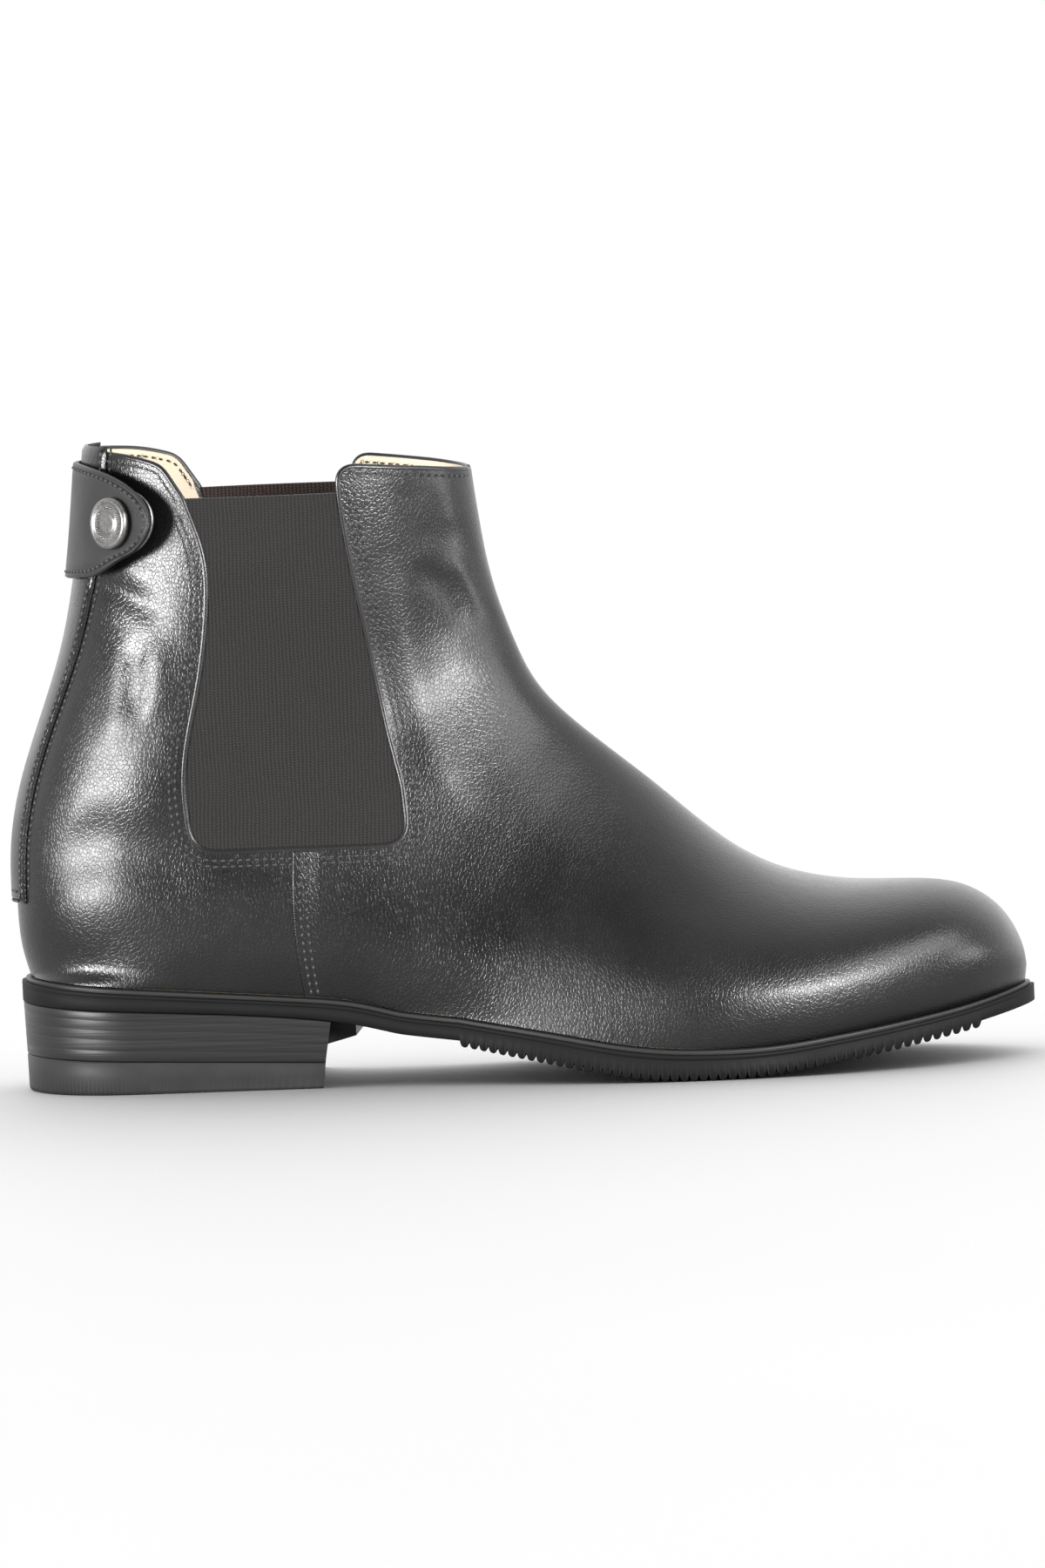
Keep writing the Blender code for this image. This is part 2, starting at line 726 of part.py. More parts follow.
def window_outline(inset=0.0, top=WINDOW_TOP):
    """Outline of the elastic panel's opening from the side, inset by a distance."""
    rear = spline(WINDOW["level"], WINDOW["rear"])
    front = spline(WINDOW["level"], WINDOW["front"])
    levels = np.linspace(WINDOW_STRAIGHT, top, 12)
    bottom = WINDOW_BOTTOM * HEIGHT + inset
    rear_points = [(float(along(rear(level))) + inset, level * HEIGHT) for level in levels[::-1]]
    front_points = [(float(along(front(level))) - inset, level * HEIGHT) for level in levels]
    low = bottom / HEIGHT
    corners = [(float(along(rear(low))) + inset, bottom), (float(along(front(low))) - inset, bottom)]
    radius = WINDOW_CORNER - inset
    return (rear_points + fillet(corners[0], rear_points[-1], corners[1], radius)
            + fillet(corners[1], corners[0], front_points[0], radius) + front_points)


def collar_outline():
    """The air above the collar line, as an outline from the side."""
    corners = [(float(along(at)), level * HEIGHT) for at, level in zip(COLLAR["at"], COLLAR["level"])]
    line = [corners[0]]
    for before, corner, after, radius in zip(corners, corners[1:], corners[2:], COLLAR["radius"][1:]):
        line += fillet(corner, before, after, radius)
    line.append(corners[-1])
    return line + [(corners[-1][0], 2 * HEIGHT), (corners[0][0], 2 * HEIGHT)]


def back_patch(name, reach, z, inner_lift, outer_lift, look=None):
    """A solid that follows the back of the boot, between two heights above the leather."""
    face = girth_points(reach, z)
    normal = girth_normals(reach, z)
    outer = face + normal * np.expand_dims(outer_lift, -1)
    inner = face + normal * np.expand_dims(inner_lift, -1)
    return slab(name, outer, inner, look)


def strip(low, high, steps, lateral, medial, columns):
    """Grid of reach and height for an upright strip up the back."""
    z = np.linspace(low, high, steps)
    share = np.linspace(0, 1, columns)
    reach = -lateral(z)[:, None] + (lateral(z) + medial(z))[:, None] * share
    return reach, np.repeat(z[:, None], columns, 1)


def make_upper(look):
    upper = upper_shell("upper", 0.0, WALL, look)
    boolean(upper, side_prism("collar_cut", collar_outline()), "DIFFERENCE")
    boolean(upper, side_prism("window_cut", window_outline()), "DIFFERENCE")
    half = ZIP_WIDTH / 2 + FIT
    reach, z = strip(climb_height(ZIP_FOOT) - FIT, SLOT_HEAD * HEIGHT, 14,
                     lambda z: half + 0 * z, lambda z: half + 0 * z, 5)
    slot = cutter(back_patch("zip_cut", reach, z, -4 * WALL, 2 * WALL))
    boolean(upper, slot, "DIFFERENCE")


def make_gores(look):
    outline = window_outline(FIT, GORE_TOP)
    for name, low, high in (("gore_lateral", -FAR, 0.0), ("gore_medial", 0.0, FAR)):
        panel = upper_shell(name, -GORE_SINK, GORE, look)
        boolean(panel, side_prism(name + "_limit", outline, low, high), "INTERSECT")


def make_zip(look):
    half = ZIP_WIDTH / 2
    reach, z = strip(climb_height(ZIP_FOOT), climb_height(ZIP_HEAD), 16,
                     lambda z: half + 0 * z, lambda z: half + 0 * z, 5)
    return back_patch("zip", reach, z, -ZIP_TAPE - GORE_SINK, -GORE_SINK, look)


def flap_edge(name):
    edge = spline(FLAP_SHAPE["climb"], FLAP_SHAPE[name])
    return lambda z: edge(height_climb(z))


def make_flap(look):
    low = climb_height(FLAP_SHAPE["climb"][0])
    high = climb_height(FLAP_SHAPE["climb"][-1])
    reach, z = strip(low, high, 20, flap_edge("lateral"), flap_edge("medial"), 9)
    return back_patch("zip_flap", reach, z, FIT, FIT + FLAP, look)


def round_patch(centre, radius, middle, rows=9, columns=7):
    """Grid of reach and height for a round disc that follows the leather."""
    turn = np.linspace(-0.46 * np.pi, 0.46 * np.pi, rows)
    half = radius * np.cos(turn)
    share = np.linspace(-1, 1, columns)
    z = middle + radius * np.sin(turn)
    return -centre + half[:, None] * share, np.repeat(z[:, None], columns, 1)


SNAP_FIT = 0.0006
BASE_LIFT = FIT + FLAP + FIT
TAB_LIFT = BASE_LIFT + PULL + FIT
BASE_NEAR = SNAP_REACH - SNAP_BASE_RADIUS

# Turned profile of the snap cap, from its foot to its middle, as shares of its radius and thickness
CAP = table(
    "radius height",
    (0.00, 0.00),
    (0.88, 0.00),
    (1.00, 0.30),
    (1.00, 0.70),
    (0.94, 0.95),
    (0.84, 1.00),
    (0.74, 0.80),
    (0.42, 0.80),
    (0.38, 0.92),
    (0.00, 0.92),
)
CAP_TURNS = 24


def tab_half_height(reach):
    """Half the tab's height at a reach round the back, with its round lateral tip."""
    near = np.clip(-reach / TAB_REACH, 0, 1)
    return TAB_HEIGHT / 2 * (1 - near ** 2.4) ** 0.5


def tab_lift(reach):
    """Height of the tab's underside above the leather: it rises over the snap's base to its tip."""
    return TAB_LIFT + (SNAP_BASE + TAB_RISE - PULL) * np.clip(-reach / BASE_NEAR, 0, None) ** 2


def make_tab(look):
    turn = np.linspace(0.04, 1, 15)
    reach = -TAB_REACH * np.cos(turn * np.pi / 2)
    reach = np.append(reach, np.linspace(0, TAB_ROOT, 6)[1:])
    share = np.linspace(-1, 1, 7)
    z = TAB_MIDDLE * HEIGHT + tab_half_height(reach)[:, None] * share
    reach = np.repeat(reach[:, None], len(share), 1)
    return back_patch("snap_tab", reach, z, tab_lift(reach), tab_lift(reach) + TAB, look)


def tab_face(reach, z):
    """Points of the tab's outer face."""
    lift = np.expand_dims(tab_lift(reach) + TAB, -1)
    return girth_points(reach, z) + girth_normals(reach, z) * lift


def make_pull(look):
    top = TAB_MIDDLE * HEIGHT - PULL_TOP * TAB_HEIGHT
    bottom = TAB_MIDDLE * HEIGHT - TAB_HEIGHT / 2 - PULL_DROP
    reach, z = strip(bottom, top, 7, lambda z: 0 * z, lambda z: PULL_WIDTH + 0 * z, 3)
    return back_patch("zip_pull", reach + PULL_SIDE - PULL_WIDTH / 2, z, BASE_LIFT, BASE_LIFT + PULL, look)


def make_snap(look):
    middle = TAB_MIDDLE * HEIGHT
    reach, z = round_patch(SNAP_REACH, SNAP_BASE_RADIUS, middle)
    back_patch("snap_base", reach, z, BASE_LIFT, BASE_LIFT + SNAP_BASE, look)
    step = SNAP_RADIUS / 2
    reach = -SNAP_REACH + step * np.array([0, 1, -1, 0, 0])
    seat, back, front, above, below = tab_face(reach, middle + step * np.array([0, 0, 0, 1, -1]))
    normal = unit(np.cross(above - below, back - front))
    points = []
    for turn in np.linspace(0, 2 * np.pi, CAP_TURNS, endpoint=False):
        for radius, height in zip(CAP["radius"], CAP["height"]):
            points.append((radius * SNAP_RADIUS * np.cos(turn), radius * SNAP_RADIUS * np.sin(turn),
                           height * SNAP_THICKNESS))
    count = len(CAP["radius"])
    faces = [(i * count + j, (i + 1) % CAP_TURNS * count + j, (i + 1) % CAP_TURNS * count + j + 1,
              i * count + j + 1) for i in range(CAP_TURNS) for j in range(count - 1)]
    turned = Vector(normal).to_track_quat("Z", "Y").to_matrix().to_4x4()
    place = Matrix.Translation(Vector(seat + normal * SNAP_FIT)) @ turned
    points = [place @ Vector(point) for point in points]
    return add_mesh("snap_cap", points, faces, look)


def clear_scene():
    for item in list(bpy.data.objects):
        bpy.data.objects.remove(item, do_unlink=True)


def main():
    clear_scene()
    leather = material("black_leather", (0.012, 0.012, 0.012), 0.38)
    rubber = material("black_rubber", (0.020, 0.020, 0.021), 0.62)
    stack = material("heel_leather", (0.022, 0.021, 0.020), 0.45)
    elastic = material("black_elastic", (0.024, 0.020, 0.018), 0.85)
    tape = material("zip_tape", (0.014, 0.014, 0.015), 0.80)
    lining = material("insole_leather", (0.780, 0.640, 0.490), 0.60)
    metal = material("dark_nickel", (0.320, 0.310, 0.300), 0.30, 1.0)
    make_outsole(rubber)
    make_welt(leather)
    make_insole(lining)
    make_heel(stack, rubber)
    make_upper(leather)
    make_gores(elastic)
    make_zip(tape)
    make_flap(leather)
    make_pull(leather)
    make_tab(leather)
    make_snap(metal)


main()
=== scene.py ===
"""Looks of the right paddock boot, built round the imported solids.

Frame: +X to the toe, +Y to the inner (medial) side, +Z up, metres. The tables and the surface
functions are those of the boot's solids, read at a finer step.
"""
import bmesh
import bpy
import numpy as np
from mathutils import Matrix, Vector


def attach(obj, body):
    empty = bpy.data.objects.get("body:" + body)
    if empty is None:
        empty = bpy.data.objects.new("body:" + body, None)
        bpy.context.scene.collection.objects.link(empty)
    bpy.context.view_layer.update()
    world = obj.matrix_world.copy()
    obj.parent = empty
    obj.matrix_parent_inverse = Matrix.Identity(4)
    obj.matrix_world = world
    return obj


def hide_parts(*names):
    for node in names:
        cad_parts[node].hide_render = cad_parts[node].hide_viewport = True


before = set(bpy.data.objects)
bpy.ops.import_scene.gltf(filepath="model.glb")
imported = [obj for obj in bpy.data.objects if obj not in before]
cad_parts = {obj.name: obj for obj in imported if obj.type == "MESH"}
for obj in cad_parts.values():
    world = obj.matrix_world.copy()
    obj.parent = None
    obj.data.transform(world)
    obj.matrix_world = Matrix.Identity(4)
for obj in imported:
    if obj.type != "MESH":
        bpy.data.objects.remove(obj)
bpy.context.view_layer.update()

# Driving sizes of the boot
LENGTH = 0.293
BALL_WIDTH = 0.100
HEEL_WIDTH = 0.066
COLLAR_WIDTH = 0.062
HEIGHT = 0.185
HEEL_HEIGHT = 0.026
TOE_SPRING = 0.0130

# Sizes of the bottom
SOLE = 0.0057
RIB_DEPTH = 0.0017
RIB_PITCH = 0.00275
WELT = 0.0010
SOLE_MARGIN = 0.0025
WELT_SHOW = 0.0012
SOLE_BEVEL = 0.0006
LIFT_FRONT = 0.0072
LIFT_SLOPE = 0.037
HEEL_TAPER = 0.0006
HEEL_INSET = 0.0002
BREAST_LEAN = 0.0028
BREAST_SKEW = 0.070
INSOLE = 0.0030
FEATHER_TUCK = 0.0008

# Sizes of the leather, the elastic and the fastening
WALL = 0.0024
FIT = 0.0003
GORE = 0.0016
GORE_SINK = 0.0004
FLAP = 0.0010
TAB = 0.0016
TAB_HEIGHT = 0.0334
TAB_REACH = 0.0395
TAB_ROOT = 0.0230
TAB_MIDDLE = 0.883
TAB_RISE = 0.0012
SNAP_REACH = 0.0275
SNAP_RADIUS = 0.0075
SNAP_THICKNESS = 0.0022
SNAP_BASE_RADIUS = 0.0096
SNAP_BASE = 0.0007
ZIP_WIDTH = 0.0100
ZIP_TAPE = 0.0014
PULL_WIDTH = 0.0050
PULL_DROP = 0.0120
PULL_TOP = 0.3
PULL = 0.0005
PULL_SIDE = 0.0055

FAR = 0.5


def table(columns, *rows):
    """A table with named columns, as one array for each column."""
    names = columns.split()
    return {name: np.array([row[i] for row in rows]) for i, name in enumerate(names)}


def spline(knots, values):
    """Natural cubic spline through the values, as a function of one variable."""
    knots = np.asarray(knots, float)
    values = np.asarray(values, float)
    count = len(knots)
    step = np.diff(knots)
    slope = np.diff(values) / step
    matrix = np.eye(count)
    right = np.zeros(count)
    for i in range(1, count - 1):
        matrix[i, i - 1:i + 2] = step[i - 1], 2 * (step[i - 1] + step[i]), step[i]
        right[i] = 6 * (slope[i] - slope[i - 1])
    bend = np.linalg.solve(matrix, right)

    def value(at):
        at = np.clip(np.asarray(at, float), knots[0], knots[-1])
        i = np.clip(np.searchsorted(knots, at, side="right") - 1, 0, count - 2)
        h = step[i]
        a = (knots[i + 1] - at) / h
        b = 1 - a
        return (a * values[i] + b * values[i + 1]
                + ((a ** 3 - a) * bend[i] + (b ** 3 - b) * bend[i + 1]) * h ** 2 / 6)

    return value


WIDTHS = {"ball": BALL_WIDTH, "heel": HEEL_WIDTH, "collar": COLLAR_WIDTH}

# Underside and edge of the sole. at is the place from back (0) to toe (1) as a share of the length.
# heel and spring are the shares of heel height and toe spring that lift the underside there, and
# body is the share of the sole's thickness.
SIDE = table(
    "at     heel   spring body",
    (0.000, 1.000, 0.000, 1.02),
    (0.171, 0.885, 0.000, 0.82),
    (0.290, 0.780, 0.000, 0.80),
    (0.342, 0.690, 0.000, 0.88),
    (0.386, 0.570, 0.000, 0.88),
    (0.444, 0.425, 0.000, 0.88),
    (0.495, 0.305, 0.000, 0.96),
    (0.546, 0.185, 0.000, 1.04),
    (0.598, 0.068, 0.000, 1.08),
    (0.645, 0.008, 0.000, 1.06),
    (0.680, 0.000, 0.000, 1.00),
    (0.712, 0.000, 0.000, 0.98),
    (0.760, 0.000, 0.070, 0.92),
    (0.806, 0.000, 0.215, 0.86),
    (0.850, 0.000, 0.365, 0.82),
    (0.894, 0.000, 0.530, 0.78),
    (0.939, 0.000, 0.710, 0.76),
    (1.000, 0.000, 1.000, 0.84),
)

# Plan of the sole's edge. centre, lateral and medial are shares of the width that the row names.
PLAN = table(
    "at     width   centre  lateral medial",
    (0.000, "heel", 0.015, 0.500, 0.500),
    (0.154, "heel", 0.015, 0.503, 0.497),
    (0.290, "heel", 0.000, 0.492, 0.480),
    (0.410, "ball", -0.025, 0.325, 0.305),
    (0.512, "ball", -0.035, 0.388, 0.365),
    (0.615, "ball", -0.022, 0.466, 0.448),
    (0.683, "ball", -0.010, 0.490, 0.488),
    (0.768, "ball", 0.010, 0.480, 0.490),
    (0.853, "ball", 0.030, 0.455, 0.440),
    (1.000, "ball", 0.060, 0.395, 0.360),
)
TOE_ROUND = 0.268
TOE_FULL = 2.4
HEEL_ROUND = 0.54
HEEL_FULL = 2.3

# Back of the upper. climb is the way from the feather line (0) to the collar (1), and lean is how
# far the leather stands behind the foot of the heel, as a share of the length.
BACK = table(
    "climb  lean",
    (0.000, 0.0000),
    (0.050, 0.0066),
    (0.140, 0.0098),
    (0.240, 0.0086),
    (0.360, -0.0034),
    (0.480, -0.0250),
    (0.600, -0.0470),
    (0.740, -0.0640),
    (0.880, -0.0735),
    (1.060, -0.0830),
)

# Sections of the upper, which fan round the instep from the toe to the collar. top_x and top_z are
# the place on the front outline, as shares of length and height. base is the foot of the section:
# along the feather line from back (0) to toe (1) for the foot, and the climb up the back for the
# shaft. lateral and medial are the widest half widths, as shares of the width that the row names,
# widest is where along the section they lie, full is the roundness of the section, and ridge is
# how far the front ridge lies to the inner side, as a share of the ball width.
FOOT = table(
    "station top_x  top_z  base   width   lateral medial widest full  ridge",
    (0.0, 0.9935, 0.1350, 1.0000, "ball", 0.400, 0.350, 0.36, 2.10, 0.060),
    (1.0, 0.9900, 0.1660, 0.9915, "ball", 0.404, 0.356, 0.35, 2.10, 0.061),
    (2.0, 0.9795, 0.2030, 0.9730, "ball", 0.410, 0.366, 0.34, 2.12, 0.063),
    (3.0, 0.9610, 0.2370, 0.9430, "ball", 0.420, 0.384, 0.33, 2.15, 0.066),
    (4.0, 0.9280, 0.2645, 0.9030, "ball", 0.434, 0.408, 0.32, 2.18, 0.070),
    (6.0, 0.8270, 0.2765, 0.7900, "ball", 0.468, 0.452, 0.30, 2.10, 0.072),
    (8.0, 0.7270, 0.3225, 0.6550, "ball", 0.472, 0.458, 0.29, 1.90, 0.060),
    (10.0, 0.6440, 0.4285, 0.5050, "ball", 0.376, 0.372, 0.29, 1.78, 0.045),
    (12.0, 0.5720, 0.5260, 0.3370, "heel", 0.500, 0.490, 0.28, 1.82, 0.022),
    (14.0, 0.5253, 0.6040, 0.1620, "heel", 0.496, 0.494, 0.28, 1.90, 0.012),
    (16.0, 0.5034, 0.6780, 0.0000, "heel", 0.484, 0.484, 0.28, 1.98, 0.010),
)
SHAFT = table(
    "station top_x  top_z  base   width   lateral  medial widest full  ridge",
    (18.0, 0.4898, 0.7430, 0.178, "heel", 0.472, 0.472, 0.34, 2.02, 0.010),
    (20.0, 0.4812, 0.8010, 0.350, "heel", 0.466, 0.466, 0.42, 2.06, 0.010),
    (22.0, 0.4762, 0.8520, 0.520, "collar", 0.497, 0.497, 0.46, 2.08, 0.010),
    (25.0, 0.4708, 0.9210, 0.780, "collar", 0.500, 0.500, 0.50, 2.10, 0.010),
    (28.0, 0.4665, 0.9880, 1.060, "collar", 0.502, 0.502, 0.50, 2.12, 0.010),
)
FIRST = FOOT["station"][0]
HEEL_STATION = FOOT["station"][-1]
LAST = SHAFT["station"][-1]

# Edges of the elastic panel seen from the side: level is the height as a share of the whole.
WINDOW = table(
    "level  rear   front",
    (0.330, 0.1905, 0.4010),
    (0.430, 0.1830, 0.4000),
    (0.520, 0.1850, 0.3880),
    (0.620, 0.1990, 0.3760),
    (0.740, 0.2110, 0.3630),
    (0.840, 0.2090, 0.3530),
    (0.920, 0.1920, 0.3470),
    (1.100, 0.1880, 0.3440),
)
WINDOW_BOTTOM = 0.371
WINDOW_CORNER = 0.015
WINDOW_STRAIGHT = 0.46
WINDOW_TOP = 1.1
GORE_TOP = 0.9190

# Collar line seen from the side, from the back to the front, with the radius of each corner.
COLLAR = table(
    "at      level  radius",
    (-0.020, 1.0100, 0.000),
    (0.1400, 0.9840, 0.060),
    (0.1720, 0.9690, 0.007),
    (0.1925, 0.9180, 0.002),
    (0.3430, 0.9160, 0.002),
    (0.3495, 0.9600, 0.007),
    (0.4300, 0.9480, 0.060),
    (0.6000, 0.9150, 0.000),
)

# Leather flap down the back: reach round the back from the middle line, to either side.
FLAP_SHAPE = table(
    "climb   lateral medial",
    (0.140, 0.0135, 0.0095),
    (0.300, 0.0135, 0.0100),
    (0.480, 0.0138, 0.0102),
    (0.700, 0.0162, 0.0105),
    (1.000, 0.0185, 0.0110),
)
ZIP_FOOT = 0.175
ZIP_HEAD = 0.990
SLOT_HEAD = 1.03


def along(share):
    """X of a place given as a share of the length from the back of the boot."""
    return (np.asarray(share, float) - 0.5) * LENGTH


def share_of(x):
    return np.asarray(x, float) / LENGTH + 0.5


heel_share = spline(SIDE["at"], SIDE["heel"])
spring_share = spline(SIDE["at"], SIDE["spring"])
body_share = spline(SIDE["at"], SIDE["body"])
RIBS_FROM = 0.444
RIBS_TO = 0.956
RIB_FADE = 0.060


def underside(x):
    """Lowest line of the sole: the tips of the ribs, or the plain waist and seat."""
    at = share_of(x)
    return np.maximum(heel_share(at) * HEEL_HEIGHT + spring_share(at) * TOE_SPRING, 0.0)


def sole_body(x):
    """Underside of the sole's body, between the ribs."""
    fade = np.clip((share_of(x) - RIBS_FROM) / RIB_FADE + 1, 0, 1)
    return underside(x) + RIB_DEPTH * fade


def sole_top(x):
    return sole_body(x) + SOLE * body_share(share_of(x))


def feather(x):
    """Height of the upper's lower edge, which stands on the welt."""
    return sole_top(x) + FIT + WELT + FIT


FEATHER_BACK = along(0) + BACK["lean"].max() * LENGTH + FIT + FLAP
FEATHER_TIP = along(1) - SOLE_MARGIN
SOLE_BACK = FEATHER_BACK - SOLE_MARGIN
SOLE_TIP = along(1)


def plan_column(name):
    sizes = np.array([WIDTHS[width] for width in PLAN["width"]])
    return spline(PLAN["at"], PLAN[name] * sizes)


plan_centre = plan_column("centre")
plan_lateral = plan_column("lateral")
plan_medial = plan_column("medial")


def toe_cap(x, tip):
    reach = TOE_ROUND * LENGTH
    near = np.clip((x - tip + reach) / reach, 0, 1)
    return np.sqrt(1 - near ** TOE_FULL)


def heel_cap(x, back):
    reach = HEEL_ROUND * HEEL_WIDTH
    near = np.clip((back + reach - x) / reach, 0, 1)
    return np.sqrt(1 - near ** HEEL_FULL)


def plan(x, inset=0.0, tuck=0.0):
    """Lateral and medial half widths of the sole's plan, inset from its edge."""
    cap = toe_cap(x, SOLE_TIP - inset) * heel_cap(x, SOLE_BACK + inset)
    at = share_of(x)
    return (plan_lateral(at) - inset - tuck) * cap, (plan_medial(at) - inset - tuck) * cap


def centre_line(x):
    return plan_centre(share_of(x))


def back_lean(climb):
    return spline(BACK["climb"], BACK["lean"])(climb) * LENGTH


def climb_height(climb):
    low = feather(FEATHER_BACK)
    return low + climb * (HEIGHT - low)


def height_climb(z):
    low = feather(FEATHER_BACK)
    return (z - low) / (HEIGHT - low)


def back_x(z):
    """X of the upper's back outline at a height."""
    return FEATHER_BACK - back_lean(height_climb(z))


def section_column(name):
    """A column of both section tables as one spline over the stations."""
    stations = np.concatenate([FOOT["station"], SHAFT["station"]])
    values = np.concatenate([FOOT[name], SHAFT[name]])
    if name in ("lateral", "medial"):
        widths = np.concatenate([FOOT["width"], SHAFT["width"]])
        values = values * np.array([WIDTHS[width] for width in widths])
    return spline(stations, values)


SECTION = {name: section_column(name)
           for name in ("top_x", "top_z", "lateral", "medial", "widest", "full", "ridge")}
foot_base = spline(FOOT["station"], FOOT["base"])
shaft_base = spline(np.append(HEEL_STATION, SHAFT["station"]), np.append(0.0, SHAFT["base"]))


def section_ends(station):
    """X and Z of the foot and of the top of a section."""
    on_foot = station <= HEEL_STATION
    foot_x = FEATHER_BACK + np.clip(foot_base(station), 0, 1) * (FEATHER_TIP - FEATHER_BACK)
    back_z = climb_height(shaft_base(station))
    base_x = np.where(on_foot, foot_x, back_x(back_z))
    base_z = np.where(on_foot, feather(foot_x), back_z)
    return base_x, base_z, along(SECTION["top_x"](station)), SECTION["top_z"](station) * HEIGHT


def section_widths(station, rise):
    """Lateral and medial half widths, and the middle line, at a rise from 0 (foot) to 1 (top)."""
    base_x = section_ends(station)[0]
    edge = plan(base_x, SOLE_MARGIN, FEATHER_TUCK)
    widest = SECTION["widest"](station)
    full = SECTION["full"](station)
    low = np.clip(1 - rise / widest, 0, 1)
    high = np.clip((rise - widest) / (1 - widest), 0, 1)
    swell = (1 - low ** full) ** (1 / full)
    crown = (1 - high ** full) ** (1 / full)
    halves = []
    for side in (0, 1):
        most = SECTION[("lateral", "medial")[side]](station) * toe_cap(base_x, FEATHER_TIP)
        foot = np.where(station < HEEL_STATION, edge[side], 0.0)
        foot = np.minimum(foot, most)
        halves.append(np.sqrt(foot ** 2 + (most ** 2 - foot ** 2) * swell ** 2) * crown)
    base_y = centre_line(base_x)
    ridge_y = SECTION["ridge"](station) * BALL_WIDTH
    return halves[0], halves[1], base_y + (ridge_y - base_y) * rise


def upper_points(station, rise):
    """Lateral and medial points of the upper's outer face."""
    base_x, base_z, top_x, top_z = section_ends(station)
    lateral, medial, middle = section_widths(station, rise)
    x = base_x + (top_x - base_x) * rise
    z = base_z + (top_z - base_z) * rise
    return np.stack([x, middle - lateral, z], -1), np.stack([x, middle + medial, z], -1)


def fan_place(x, z):
    """Station and rise of the section that passes through a place seen from the side."""
    x, z = np.broadcast_arrays(np.asarray(x, float), np.asarray(z, float))
    low = np.full(x.shape, FIRST)
    high = np.full(x.shape, LAST)
    for _ in range(40):
        middle = (low + high) / 2
        base_x, base_z, top_x, top_z = section_ends(middle)
        ahead = (top_x - base_x) * (z - base_z) - (top_z - base_z) * (x - base_x) > 0
        low = np.where(ahead, middle, low)
        high = np.where(ahead, high, middle)
    base_x, base_z, top_x, top_z = section_ends(low)
    reach = (top_x - base_x) ** 2 + (top_z - base_z) ** 2
    rise = ((x - base_x) * (top_x - base_x) + (z - base_z) * (top_z - base_z)) / reach
    return low, np.clip(rise, 0, 1)


GIRTH_DEPTH = 0.060
GIRTH_STEPS = 90


def unit(vectors):
    return vectors / np.linalg.norm(vectors, axis=-1, keepdims=True)


BASE_LIFT = FIT + FLAP + FIT
TAB_LIFT = BASE_LIFT + PULL + FIT
BASE_NEAR = SNAP_REACH - SNAP_BASE_RADIUS
SNAP_FIT = 0.0006

# Soft troughs (depth below zero) and ridges of the leather, as lines seen from the side. at and
# level are shares of length and height, bow is the sag of the line as a share of its length, and
# width and depth are in metres.
CREASES = table(
    "side at_0 level_0 at_1 level_1 bow width depth",
    (0, 0.403, 0.780, 0.452, 0.440, -0.10, 0.0050, 0.0010),
    (0, 0.388, 0.740, 0.425, 0.500, -0.08, 0.0050, -0.0007),
    (0, 0.424, 0.800, 0.462, 0.700, 0.06, 0.0036, -0.0008),
    (0, 0.444, 0.810, 0.476, 0.720, 0.06, 0.0034, 0.0007),
    (0, 0.455, 0.690, 0.530, 0.540, 0.05, 0.0075, 0.0005),
    (0, 0.412, 0.930, 0.432, 0.830, 0.04, 0.0050, -0.0004),
    (0, 0.440, 0.935, 0.452, 0.850, 0.04, 0.0050, 0.0004),
    (0, 0.124, 0.700, 0.112, 0.540, 0.05, 0.0044, 0.0006),
    (0, 0.141, 0.700, 0.137, 0.580, -0.04, 0.0032, -0.0008),
    (0, 0.158, 0.700, 0.156, 0.580, 0.04, 0.0036, 0.0006),
    (0, 0.040, 0.375, 0.190, 0.345, 0.04, 0.0105, -0.0015),
    (0, 0.095, 0.790, 0.165, 0.735, 0.08, 0.0032, -0.0006),
    (0, 0.100, 0.830, 0.160, 0.790, 0.05, 0.0036, 0.0004),
    (0, 0.075, 0.420, 0.150, 0.370, 0.10, 0.0070, -0.0005),
    (0, 0.630, 0.300, 0.700, 0.230, 0.08, 0.0060, -0.0003),
    (1, 0.403, 0.760, 0.455, 0.430, -0.08, 0.0050, 0.0009),
    (1, 0.385, 0.720, 0.428, 0.480, -0.08, 0.0050, -0.0007),
    (1, 0.430, 0.810, 0.478, 0.700, 0.06, 0.0036, -0.0007),
    (1, 0.110, 0.690, 0.100, 0.520, 0.05, 0.0048, 0.0007),
    (1, 0.132, 0.710, 0.126, 0.560, -0.04, 0.0036, -0.0008),
    (1, 0.640, 0.310, 0.710, 0.230, 0.08, 0.0060, -0.0003),
)

# How finely the leather is divided: stations of the sections, and points up each side
SKIN_ROWS = 281
SKIN_COLUMNS = 64
RELAX_PASSES = 70
RELAX_SPAN = 1.4
RELAX_START = 0.06


def smooth(value):
    """Smooth step from 0 to 1."""
    value = np.clip(value, 0, 1)
    return value * value * (3 - 2 * value)


def half_spacing(steps):
    return (1 - np.cos(np.pi * np.linspace(0, 1, steps))) / 2


def grid_normals(points, sign):
    """Normals of a grid of points over stations and rises."""
    down = np.gradient(points, axis=0)
    across = np.gradient(points, axis=1)
    normal = sign * np.cross(across, down)
    size = np.linalg.norm(normal, axis=-1, keepdims=True)
    return normal / np.maximum(size, 1e-12)


